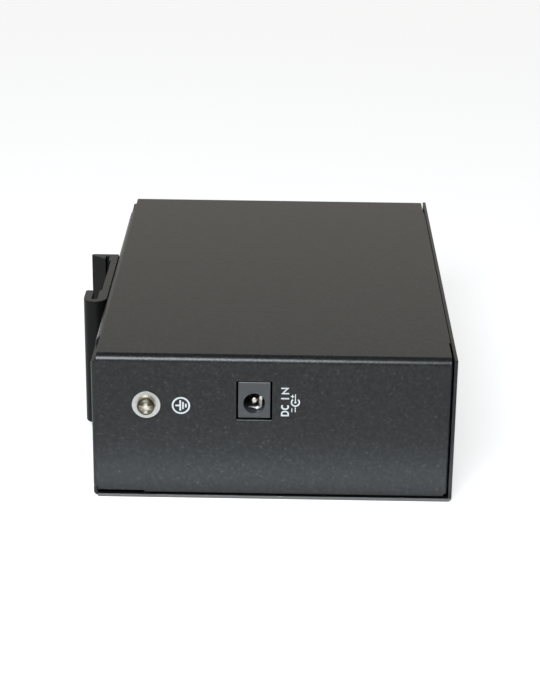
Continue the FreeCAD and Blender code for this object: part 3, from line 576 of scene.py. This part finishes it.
def folded_leaf(name, axis, front, back):
    """Thin leaf along the bore: a floor and one side with a round fold between, and a front lip that
    flares more and leans back towards the top of the side. It stays inside the bore."""
    shape = bmesh.new()
    lines = []
    for point, out, flare, lean, lip in leaf_outline():
        room = -point.dot(out) + math.sqrt(point.dot(out) ** 2 + LEAF_REACH ** 2 - point.length_squared)
        flare = min(flare, room)
        stations = [(front + lean + lip * along, flare * share) for along, share in LIP_CURVE]
        stations.append((back, min(TAIL_FLARE, room)))
        line = []
        for depth, move in stations:
            across = axis.x + point.x + out.x * move
            above = axis.z + point.y + out.y * move
            line.append(shape.verts.new((across, depth, above)))
        lines.append(line)
    for line, following in zip(lines, lines[1:]):
        for i in range(len(line) - 1):
            shape.faces.new((line[i], line[i + 1], following[i + 1], following[i]))
    bmesh.ops.recalc_face_normals(shape, faces=shape.faces)
    leaf = new_piece(name, shape)
    thickness = leaf.modifiers.new("thickness", "SOLIDIFY")
    thickness.thickness = LEAF_GAUGE
    thickness.offset = 0.0
    return soften(settle(leaf), FINE_EDGE)


inlet_plastic = moulded("black_moulded_nylon", "#363939", "#2e3132", roughness=0.36, grain=INLET_GRAIN)
nickel = plated("nickel_plated_brass", "#dcd9d0", "#bdb9af", roughness=0.28, streak=TURNED_STREAK)
bronze = plated("nickel_plated_bronze_leaf", "#a3a29e", "#838280", roughness=0.38, streak=ROLLED_STREAK)
low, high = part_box("dc_jack_body")
inlet = roll_over(merged("dc_jack_body"), BROW,
                  lambda end: end.y < low.y + INLET_EDGE and end.z > high.z - INLET_EDGE)
inlet_block = soften(new_piece("inlet_block", inlet), INLET_EDGE)
finished(inlet_block, "case", "inlet_plastic", inlet_plastic, "dc_jack_body")
low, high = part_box("dc_jack_pin")
pin_axis = (low + high) / 2
pin_radius = (high.x - low.x) / 2
pin_end = low.y - high.y
pin = [(0.0, 0.0)]
for turn in quarter_turn(DOME_STEPS):
    pin.append((pin_radius - PIN_ROUND * (1 - math.sin(turn)), -PIN_ROUND * (1 - math.cos(turn))))
pin += [(pin_radius, pin_end), (0.0, pin_end)]
inlet_pin = stood(turned("inlet_pin", pin), (pin_axis.x, low.y, pin_axis.z), TO_NEAR_END)
finished(soften(inlet_pin, PIN_EDGE), "case", "contact_nickel", nickel, "dc_jack_pin")
low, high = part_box("dc_jack_contact")
leaf = folded_leaf("inlet_spring", pin_axis, low.y, high.y)
finished(leaf, "case", "contact_nickel", bronze, "dc_jack_contact")

# Earth terminal
# A pan-head screw with a split spring washer and a broad flat washer, all nickel plated, holds a ring
# terminal to the end wall. The head is cold formed and has a cross recess.
RECESS = (3.4 * MM, 1.05 * MM, 0.7 * MM, 0.74)
RECESS_MOUTH = 1.15
RECESS_ABOVE = 0.3 * MM
HEAD_RIM, HEAD_DOME = 0.45, 0.8
SHANK_RADIUS = 1.5 * MM
SPRING_WASHER_EDGE = 0.1 * MM
FLAT_WASHER_EDGE = 0.12 * MM
SMEAR = 0.6 * MM
SMEAR_REACH = 0.8 * MM
CROSS_FULL, CROSS_SIDE = 0.4 * MM, 0.8 * MM
CROSS_MIDDLE, CROSS_END = 0.2 * MM, 2.0 * MM


def cross_cutter(length, width, depth, taper):
    """Tapered plus-shaped block that cuts a cross recess into a head whose top is at height 0."""
    half, arm = length / 2, width / 2
    corner = [(arm, half), (arm, arm), (half, arm)]
    plus = []
    for quarter in range(4):
        turn = Matrix.Rotation(-quarter * math.pi / 2, 2)
        plus += [turn @ Vector(point) for point in corner]
    shape = bmesh.new()
    over = [shape.verts.new((x * RECESS_MOUTH, y * RECESS_MOUTH, RECESS_ABOVE)) for x, y in plus]
    under = [shape.verts.new((x * taper, y * taper, -depth)) for x, y in plus]
    enclose(shape, [over, under])
    bmesh.ops.recalc_face_normals(shape, faces=shape.faces)
    return new_piece("cross_cutter", shape)


def cross_screw(name, outline, recess):
    """Turned screw with its head up at height 0 and a cross recess in it."""
    screw = turned(name, outline)
    cutter = cross_cutter(*recess)
    cutting = screw.modifiers.new("recess", "BOOLEAN")
    cutting.operation = "DIFFERENCE"
    cutting.object = cutter
    cutting.solver = "EXACT"
    settle(screw)
    discard(cutter)
    return soften(screw, FINE_EDGE)


def pan_head(radius, height, length):
    """Outline of a pan-head screw: domed top, upright rim, plain shank."""
    rim = height * HEAD_RIM
    outline = [(0.0, 0.0)]
    for turn in quarter_turn(DOME_STEPS)[1:]:
        outline.append((radius * math.sin(turn) ** HEAD_DOME, -(height - rim) * (1 - math.cos(turn))))
    end = -height - length
    return outline + [(radius, -height), (SHANK_RADIUS, -height), (SHANK_RADIUS, end), (0.0, end)]


def screw_with_painted_light(centre):
    """Nickel on steel with painted light: a dark brown face as painted shade, and a bright cross as a
    painted highlight where the driver has rubbed.
    """
    material, tree, skin = surface("worn_nickel_on_steel", Metallic=1.0, Roughness=0.44)
    place = add(tree, "ShaderNodeTexCoord", {}).outputs["Object"]
    on_head = add(tree, "ShaderNodeMapping", {"Vector": place, "Location": -centre})
    apart = add(tree, "ShaderNodeSeparateXYZ", {"Vector": on_head.outputs["Vector"]})
    aside = add(tree, "ShaderNodeMath", {0: apart.outputs["X"]}, operation="ABSOLUTE").outputs[0]
    above = add(tree, "ShaderNodeMath", {0: apart.outputs["Z"]}, operation="ABSOLUTE").outputs[0]
    thin = add(tree, "ShaderNodeMath", {0: aside, 1: above}, operation="MINIMUM").outputs[0]
    long = add(tree, "ShaderNodeMath", {0: aside, 1: above}, operation="MAXIMUM").outputs[0]
    smear = add(tree, "ShaderNodeTexNoise", {"Vector": place, "Scale": 1 / SMEAR, "Detail": 3.0})
    edge = add(tree, "ShaderNodeMath", {0: smear.outputs["Fac"], 1: SMEAR_REACH, 2: -SMEAR_REACH / 2},
               operation="MULTIPLY_ADD").outputs[0]
    off_cross = add(tree, "ShaderNodeMath", {0: thin, 1: edge}, operation="ADD").outputs[0]
    across = add(tree, "ShaderNodeMapRange", {
        "Value": off_cross, "From Min": CROSS_FULL, "From Max": CROSS_SIDE, "To Min": 1.0, "To Max": 0.0})
    along = add(tree, "ShaderNodeMapRange", {
        "Value": long, "From Min": CROSS_MIDDLE, "From Max": CROSS_END, "To Min": 1.0, "To Max": 0.0})
    cross = add(tree, "ShaderNodeMath", {0: across.outputs["Result"], 1: along.outputs["Result"]},
                operation="MULTIPLY")
    # 4b463a is painted shade on the head's face; #dedacc is a painted highlight in the cross that the
    # driver has rubbed
    mix = add(tree, "ShaderNodeValToRGB", {"Fac": cross.outputs[0]},
              stops=((0.0, "#4b463a"), (1.0, "#dedacc")))
    tree.links.new(mix.outputs["Color"], skin.inputs["Base Color"])
    return material


washer_nickel = plated("nickel_plated_steel", "#c0c0bb", "#acaca6", roughness=0.36, streak=TURNED_STREAK)
# The spring washer has the washers' nickel made darker and warmer: painted shade for its side under the
# screw head.
shaded_spring_nickel = plated("nickel_plated_spring_steel", "#bcb7a8", "#a39d8d", roughness=0.36,
                       streak=TURNED_STREAK)
low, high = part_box("ground_screw")
under_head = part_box("ground_spring_washer")[0].y
head = pan_head((high.x - low.x) / 2, under_head - low.y, high.y - under_head)
earth_axis = (low + high) / 2
earth_place = (earth_axis.x, low.y, earth_axis.z)
earth_screw = stood(cross_screw("earth_screw", head, RECESS), earth_place, TO_NEAR_END)
finished(earth_screw, "case", "nickel_plate", screw_with_painted_light(earth_axis), "ground_screw")
spring_washer = from_solid("earth_spring_washer", "ground_spring_washer", SPRING_WASHER_EDGE)
finished(spring_washer, "case", "nickel_plate", shaded_spring_nickel, "ground_spring_washer")
flat_washer = from_solid("earth_flat_washer", "ground_washer", FLAT_WASHER_EDGE)
finished(flat_washer, "case", "nickel_plate", washer_nickel, "ground_washer")

# Front cover
# The second sheet of the case, folded to an L: the front panel with the port openings and the side
# plate that the case lies on. It has the chassis's coat, with a lighter grey painted on the lowest
# millimetre of the side plate's ends as a painted reflection of the floor.
REFLECTION_FROM, REFLECTION_TO = 1.2 * MM, 0.9 * MM
REFLECTION_DEPTH = 0.12 * MM


def coat_with_painted_reflection(end):
    """The powder coat, lighter grey on the lowest millimetre of its ends: a painted reflection of the
    floor.
    """
    material = powder_coat("black_powder_coat_with_rubbed_ends")
    tree = material.node_tree
    base = tree.nodes["Principled BSDF"].inputs["Base Color"]
    place = add(tree, "ShaderNodeTexCoord", {}).outputs["Object"]
    apart = add(tree, "ShaderNodeSeparateXYZ", {"Vector": place})
    out = add(tree, "ShaderNodeMath", {0: apart.outputs["Y"]}, operation="ABSOLUTE")
    at_end = add(tree, "ShaderNodeMapRange", {
        "Value": out.outputs[0], "From Min": end - REFLECTION_DEPTH, "From Max": end - REFLECTION_DEPTH / 2})
    low_down = add(tree, "ShaderNodeMapRange", {
        "Value": apart.outputs["Z"], "From Min": REFLECTION_FROM, "From Max": REFLECTION_TO})
    painted_reflection = add(tree, "ShaderNodeMath", {0: at_end.outputs["Result"], 1: low_down.outputs["Result"]},
              operation="MULTIPLY")
    # 605f5d is the painted reflection of the floor on the bottom edge
    mix = add(tree, "ShaderNodeMix", {
        0: painted_reflection.outputs[0], 6: base.links[0].from_socket, 7: linear("#605f5d")}, data_type="RGBA")
    tree.links.new(mix.outputs[2], base)
    return material


cover = from_solid("cover_sheet", "front_cover", SHEET_EDGE, weld=SHEET_WELD)
finished(cover, "case", "powder_coat", coat_with_painted_reflection(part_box("front_cover")[1].y), "front_cover")

# Countersunk screws
# Black zinc-plated M3 screws with a cross recess: two through the front panel into the chassis, two
# through the side plate into the pillars, and two through the rail clip.
SINK_RECESS = (2.9 * MM, 0.75 * MM, 0.85 * MM, 0.45)
SINK_RADIUS, SINK_DEPTH, SINK_RIM = 2.6 * MM, 1.0 * MM, 0.08 * MM
TO_BACK = (0.0, -math.pi / 2, 0.0)
TO_FLOOR = (math.pi, 0.0, 0.0)
X, Y, Z = 0, 1, 2


def sunk_head(length):
    """Outline of a countersunk screw with a narrow rim."""
    head = [(0.0, 0.0), (SINK_RADIUS - SINK_RIM, 0.0), (SINK_RADIUS, -SINK_RIM)]
    return head + [(SHANK_RADIUS, -SINK_DEPTH), (SHANK_RADIUS, -length), (0.0, -length)]


black_zinc = plated("black_zinc_steel", "#3d3e40", "#2d2e30", roughness=0.36, streak=TURNED_STREAK)
for node, axis, along, turn in (("cover_screws", X, Y, TO_FRONT), ("pillar_screws", Z, Y, TO_FLOOR),
                                ("clip_screws", X, Z, TO_BACK)):
    low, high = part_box(node)
    first = (low + high) / 2
    first[axis] = high[axis] if turn == TO_FRONT else low[axis]
    first[along] = low[along] + SINK_RADIUS
    step = Vector((0.0, 0.0, 0.0))
    step[along] = high[along] - low[along] - 2 * SINK_RADIUS
    screw = cross_screw("sunk_screw", sunk_head(high[axis] - low[axis]), SINK_RECESS)
    pair = row(f"{node}_black", screw, black_zinc, 2, first, step, turn)
    discard(screw)
    finished(pair, "case", "black_screw", black_zinc, node)

# Rail clip
# One piece of extruded aluminium, sawn to length and anodised black, with two hooks for a 35 mm rail.
# The press leaves fine lines along its length and the saw leaves the ends a little paler.
CLIP_EDGE = 0.22 * MM
DIE_LINE = 0.3 * MM
DIE_RELIEF = 0.01 * MM
FAR_ALONG_Z = (1.0, 1.0, 0.01)


def anodised(low, high):
    """Black anodised extrusion: satin, with die lines along Z, and paler on its two sawn ends."""
    material, tree, skin = surface("black_anodised_aluminium", Roughness=0.4, IOR=1.24)
    place = add(tree, "ShaderNodeTexCoord", {}).outputs["Object"]
    along = add(tree, "ShaderNodeMapping", {"Vector": place, "Scale": FAR_ALONG_Z})
    lines = add(tree, "ShaderNodeTexNoise", {
        "Vector": along.outputs["Vector"], "Scale": 1 / DIE_LINE, "Detail": 3.0})
    black = add(tree, "ShaderNodeValToRGB", {"Fac": lines.outputs["Fac"]},
                stops=((0.0, "#070707"), (1.0, "#121212")))
    height = add(tree, "ShaderNodeSeparateXYZ", {"Vector": place}).outputs["Z"]
    out = add(tree, "ShaderNodeMath", {0: height, 1: (low + high) / 2}, operation="SUBTRACT")
    out = add(tree, "ShaderNodeMath", {0: out.outputs[0]}, operation="ABSOLUTE")
    half = (high - low) / 2
    sawn = add(tree, "ShaderNodeMapRange", {
        "Value": out.outputs[0], "From Min": half - CLIP_EDGE, "From Max": half - CLIP_EDGE / 2})
    mix = add(tree, "ShaderNodeMix", {
        0: sawn.outputs["Result"], 6: black.outputs["Color"], 7: linear("#373735")}, data_type="RGBA")
    bump = add(tree, "ShaderNodeBump", {
        "Height": lines.outputs["Fac"], "Strength": 0.15, "Distance": DIE_RELIEF})
    tree.links.new(mix.outputs[2], skin.inputs["Base Color"])
    tree.links.new(bump.outputs["Normal"], skin.inputs["Normal"])
    return material


low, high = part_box("rail_clip")
clip = from_solid("clip_extrusion", "rail_clip", CLIP_EDGE)
finished(clip, "case", "black_anodised", anodised(low.z, high.z), "rail_clip")

# Spring tongue
# A strip of rolled spring steel curled round a pin in the clip's deep slot. It presses on the edge of
# the rail and swings on the pin.
TONGUE_EDGE = 0.08 * MM
spring_steel = plated("rolled_spring_steel", "#a9acae", "#8a8d90", roughness=0.28, streak=FINE_STREAK,
                      stretch=ALONG_Z)
tongue = from_solid("tongue", "rail_spring", TONGUE_EDGE)
finished(tongue, "rail_spring", "spring_steel", spring_steel, "rail_spring")
tongue_pin = from_solid("tongue_pin", "spring_pin", TONGUE_EDGE)
finished(tongue_pin, "case", "spring_steel", spring_steel, "spring_pin")

# Printed marks
# White screen-printed ink on the end wall: the earth sign beside the screw, and a plain word and the
# polarity sign for the inlet, which read upwards beside it.
INK = 0.03 * MM
INK_GRAIN = 0.3 * MM
ARC_STEPS = 48


def white_ink():
    """Screen-printed ink: matt white, a little thin where the coat's grain comes through."""
    material, tree, skin = surface("white_screen_ink", Roughness=0.6, IOR=1.5)
    place = add(tree, "ShaderNodeTexCoord", {}).outputs["Object"]
    thin = add(tree, "ShaderNodeTexNoise", {"Vector": place, "Scale": 1 / INK_GRAIN, "Detail": 3.0})
    mix = add(tree, "ShaderNodeValToRGB", {"Fac": thin.outputs["Fac"]},
              stops=((0.25, "#989c9c"), (0.5, "#bfc3c3")))
    tree.links.new(mix.outputs["Color"], skin.inputs["Base Color"])
    return material


def ink_shape(shape, centre, outline):
    """Closed slab of ink over an outline of (x, z) points round a centre, in millimetres."""
    rings = []
    for height in (INK, 0.0):
        rings.append([shape.verts.new((centre[0] + x * MM, wall - height, centre[1] + z * MM))
                      for x, z in outline])
    enclose(shape, rings)


def ink_bar(shape, centre, across, low, high, width):
    """Upright stroke at a distance across from the centre, between two heights."""
    ink_shape(shape, centre, [(across - width / 2, low), (across + width / 2, low),
                              (across + width / 2, high), (across - width / 2, high)])


def ink_arc(shape, centre, radius, width, first=0.0, sweep=360.0):
    """Round stroke from a first angle, measured from +X towards +Z, over a sweep."""
    whole = sweep >= 360
    steps = round(ARC_STEPS * sweep / 360)
    inner, outer = radius - width / 2, radius + width / 2
    x, z = centre
    rings = []
    for i in range(steps if whole else steps + 1):
        angle = math.radians(first + sweep * i / steps)
        out = Vector((math.cos(angle), math.sin(angle)))
        rings.append([shape.verts.new((x + out.x * r * MM, wall - height, z + out.y * r * MM))
                      for r, height in ((inner, INK), (outer, INK), (outer, 0.0), (inner, 0.0))])
    enclose(shape, rings, whole)


def printed(name, shape):
    """Finish a printed mark: closed faces outwards, white ink, fixed to the case."""
    bmesh.ops.remove_doubles(shape, verts=shape.verts, dist=WELD)
    bmesh.ops.recalc_face_normals(shape, faces=shape.faces)
    piece = new_piece(name, shape)
    piece.data.shade_flat()
    piece.data.materials.append(ink)
    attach(piece, "case")
    return piece


ink = white_ink()
EARTH_ASIDE, EARTH_BELOW = 9.7 * MM, 0.3 * MM
EARTH_LINE = 0.48
EARTH_RING = 2.33
STEM_START, STEM_END = -1.56, -0.2
FIRST_BAR = 3.1
OTHER_BARS = ((0.57, 2.15), (1.37, 1.1))
low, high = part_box("ground_washer")
earth = Vector(((low.x + high.x) / 2 + EARTH_ASIDE, (low.z + high.z) / 2 - EARTH_BELOW))
sign = bmesh.new()
ink_arc(sign, earth, EARTH_RING, EARTH_LINE)
stem, bar = EARTH_LINE / 2, FIRST_BAR / 2
left, right = STEM_END - stem, STEM_END + stem
ink_shape(sign, earth, [(STEM_START, -stem), (left, -stem), (left, -bar), (right, -bar),
                        (right, bar), (left, bar), (left, stem), (STEM_START, stem)])
for across, length in OTHER_BARS:
    ink_bar(sign, earth, across, -length / 2, length / 2, EARTH_LINE)
printed("earth_sign", sign)

POLARITY_ASIDE, POLARITY_BELOW = 7.0 * MM, 0.44 * MM
SLEEVE_LINE, SLEEVE_RADIUS, SLEEVE_START, SLEEVE_SWEEP = 0.4, 1.1, 130, 280
THIN = 0.26
DOT, DOT_STEPS = 0.3, 20
PIN_LEAD = 2.45
SLEEVE_LEAD = (-2.95, -1.5)
MINUS_ASIDE, MINUS = -0.96, (-2.95, -1.8)
PLUS_PLACE, PLUS_HALF = Vector((-0.82, 1.8)), 0.5
low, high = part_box("dc_jack_body")
polarity = Vector((high.x + POLARITY_ASIDE, (low.z + high.z) / 2 - POLARITY_BELOW))
sign = bmesh.new()
ink_arc(sign, polarity, SLEEVE_RADIUS, SLEEVE_LINE, SLEEVE_START, SLEEVE_SWEEP)
neck = math.degrees(math.asin(THIN / 2 / DOT))
dot = [(THIN / 2, PIN_LEAD), (-THIN / 2, PIN_LEAD)]
for i in range(DOT_STEPS + 1):
    turn = math.radians(90 + neck + (360 - 2 * neck) * i / DOT_STEPS)
    dot.append((DOT * math.cos(turn), DOT * math.sin(turn)))
ink_shape(sign, polarity, dot)
ink_bar(sign, polarity, 0.0, *SLEEVE_LEAD, THIN)
ink_bar(sign, polarity, MINUS_ASIDE, *MINUS, THIN)
arm, half = THIN / 2, PLUS_HALF
ink_shape(sign, polarity + PLUS_PLACE * MM, [
    (-half, -arm), (-arm, -arm), (-arm, -half), (arm, -half), (arm, -arm), (half, -arm),
    (half, arm), (arm, arm), (arm, half), (-arm, half), (-arm, arm), (-half, arm)])
printed("polarity_sign", sign)

CAPITAL = 2.25
PEN = 0.43
PEN_MITRE = 0.5
BOW_STEPS = 14
TOP, FOOT = CAPITAL - PEN / 2, PEN / 2
WAIST = CAPITAL / 2
DRAWN_IN = 0.17
STRETCH = 1.045
WORD_ASIDE, WORD_BELOW = 1.75 * MM, 4.26 * MM


def ink_stroke(shape, corner, points, closed):
    """Pen stroke along points of a letter that reads upwards from its lower corner, in millimetres."""
    points = [Vector(point) for point in points]
    rings = []
    for i, point in enumerate(points):
        before = points[i - 1] if i or closed else None
        after = points[(i + 1) % len(points)] if i + 1 < len(points) or closed else None
        parts = ((before, point), (point, after))
        runs = [(b - a).normalized() for a, b in parts if a is not None and b is not None]
        middle = sum(runs, Vector((0.0, 0.0))).normalized()
        side = Vector((-middle.y, middle.x)) * PEN / 2 / max(PEN_MITRE, middle.dot(runs[0]))
        ring = []
        for lean, height in ((-1, INK), (1, INK), (1, 0.0), (-1, 0.0)):
            nib = point + side * lean
            ring.append(shape.verts.new((corner.x - nib.y * MM, wall - height, corner.y + nib.x * MM)))
        rings.append(ring)
    enclose(shape, rings, closed)


def bow(centre, radii, first, sweep):
    """Points of an elliptical arc."""
    points = []
    for i in range(BOW_STEPS + 1):
        turn = math.radians(first + sweep * i / BOW_STEPS)
        points.append((centre[0] + radii[0] * math.cos(turn), centre[1] + radii[1] * math.sin(turn)))
    return points


# Each letter has its start along the word, the points of its pen stroke, and whether the stroke closes.
letters = {
    "D": (0.0, [(0.23, FOOT)] + bow((0.75, WAIST), (0.68, WAIST - FOOT), -90, 180) + [(0.23, TOP)], True),
    "C": (1.85, bow((0.9, WAIST), (0.67, WAIST - FOOT), 48, 264), False),
    "I": (4.75, [(0.4, 0.0), (0.4, CAPITAL)], False),
    "N": (6.35, [(0.25, 0.0), (0.25, TOP - DRAWN_IN), (1.75, FOOT + DRAWN_IN), (1.75, CAPITAL)], False),
}
corner = Vector((polarity.x - WORD_ASIDE, polarity.y - WORD_BELOW))
word = bmesh.new()
for start, points, closed in letters.values():
    ink_stroke(word, corner, [((start + along) * STRETCH, above) for along, above in points], closed)
printed("inlet_word", word)

# Studio
# A pale floor and a dim room with three soft lamps: a large softbox above the front, which gives the
# bright line along the folded edge, a panel behind, which the main plate mirrors, and a narrow strip
# over the floor in front.
FLOOR_SIZE = 12.0
FLOOR_DROP = 0.05 * MM
FLOOR_LIFT = 0.7
ROOM_LIGHT = 0.25
bpy.ops.mesh.primitive_plane_add(size=FLOOR_SIZE, location=(0, 0, -FLOOR_DROP))
floor = bpy.context.object
floor.name = "floor"
pale, tree, shader = surface("pale_floor", Base_Color=linear("#a8a8a8"), Roughness=0.9,
                             Emission_Color=linear("#ffffff"))
light_path = add(tree, "ShaderNodeLightPath", {}).outputs
seen = add(tree, "ShaderNodeMath", {0: light_path["Is Camera Ray"], 1: light_path["Is Glossy Ray"]},
           operation="MAXIMUM")
seen = add(tree, "ShaderNodeMath", {0: seen.outputs[0], 1: light_path["Is Transmission Ray"]},
           operation="MAXIMUM")
lift = add(tree, "ShaderNodeMath", {0: seen.outputs[0], 1: FLOOR_LIFT}, operation="MULTIPLY")
tree.links.new(lift.outputs[0], shader.inputs["Emission Strength"])
floor.data.materials.append(pale)

scene = bpy.context.scene
scene.view_settings.view_transform = "Standard"
world = bpy.data.worlds.new("dim_room")
world.use_nodes = True
world.node_tree.nodes["Background"].inputs["Color"].default_value = linear("#ffffff")
world.node_tree.nodes["Background"].inputs["Strength"].default_value = ROOM_LIGHT
scene.world = world


def lamp(name, place, aim, energy, colour, **settings):
    """Rectangular soft lamp at a place, turned to a point and out of the camera's sight."""
    light = bpy.data.lights.new(name, "AREA")
    light.shape = "RECTANGLE"
    light.energy = energy
    light.color = linear(colour)[:3]
    for setting, value in settings.items():
        setattr(light, setting, value)
    made = bpy.data.objects.new(name, light)
    made.location = place
    made.rotation_mode = "QUATERNION"
    made.rotation_quaternion = (Vector(aim) - Vector(place)).to_track_quat("-Z", "Y")
    made.visible_camera = False
    scene.collection.objects.link(made)


lamp("softbox", place=(-0.15, -0.632, 0.544), aim=(0.0, -0.06, 0.02), energy=9.7, colour="#f4f9ff",
     size=0.4, size_y=0.36)
lamp("back_panel", place=(0.0, 0.9, 0.32), aim=(0.0, 0.0, 0.2), energy=1.18, colour="#fff9ea",
     size=1.8, size_y=0.5)
lamp("floor_strip", place=(0.0, -0.092, 0.22), aim=(0.0, -0.092, 0.0), energy=0.042, colour="#eaf4ff",
     size=0.13, size_y=0.012, spread=math.radians(8))

# Camera
# The photograph's viewpoint, about 0.6 m away and 21 degrees above the horizon.
# The lens is a long one, and its focal length is given in pixels of the photograph.
IMAGE_HEIGHT = 700
FOCAL_PIXELS = 1904.9
EYE = (4.11 * MM, -564.94 * MM, 238.14 * MM)
YAW, PITCH, ROLL = math.radians(-0.616), math.radians(21.444), math.radians(0.663)
forward = Vector((math.sin(YAW) * math.cos(PITCH), math.cos(YAW) * math.cos(PITCH), -math.sin(PITCH)))
level = Vector((math.cos(YAW), -math.sin(YAW), 0))
upright = level.cross(forward)
right = math.cos(ROLL) * level + math.sin(ROLL) * upright
up = math.cos(ROLL) * upright - math.sin(ROLL) * level
camera = bpy.data.objects.new("camera", bpy.data.cameras.new("camera"))
camera.data.lens = camera.data.sensor_width * FOCAL_PIXELS / IMAGE_HEIGHT
camera.matrix_world = Matrix.Translation(EYE) @ Matrix((right, up, -forward)).transposed().to_4x4()
scene.collection.objects.link(camera)
scene.camera = camera
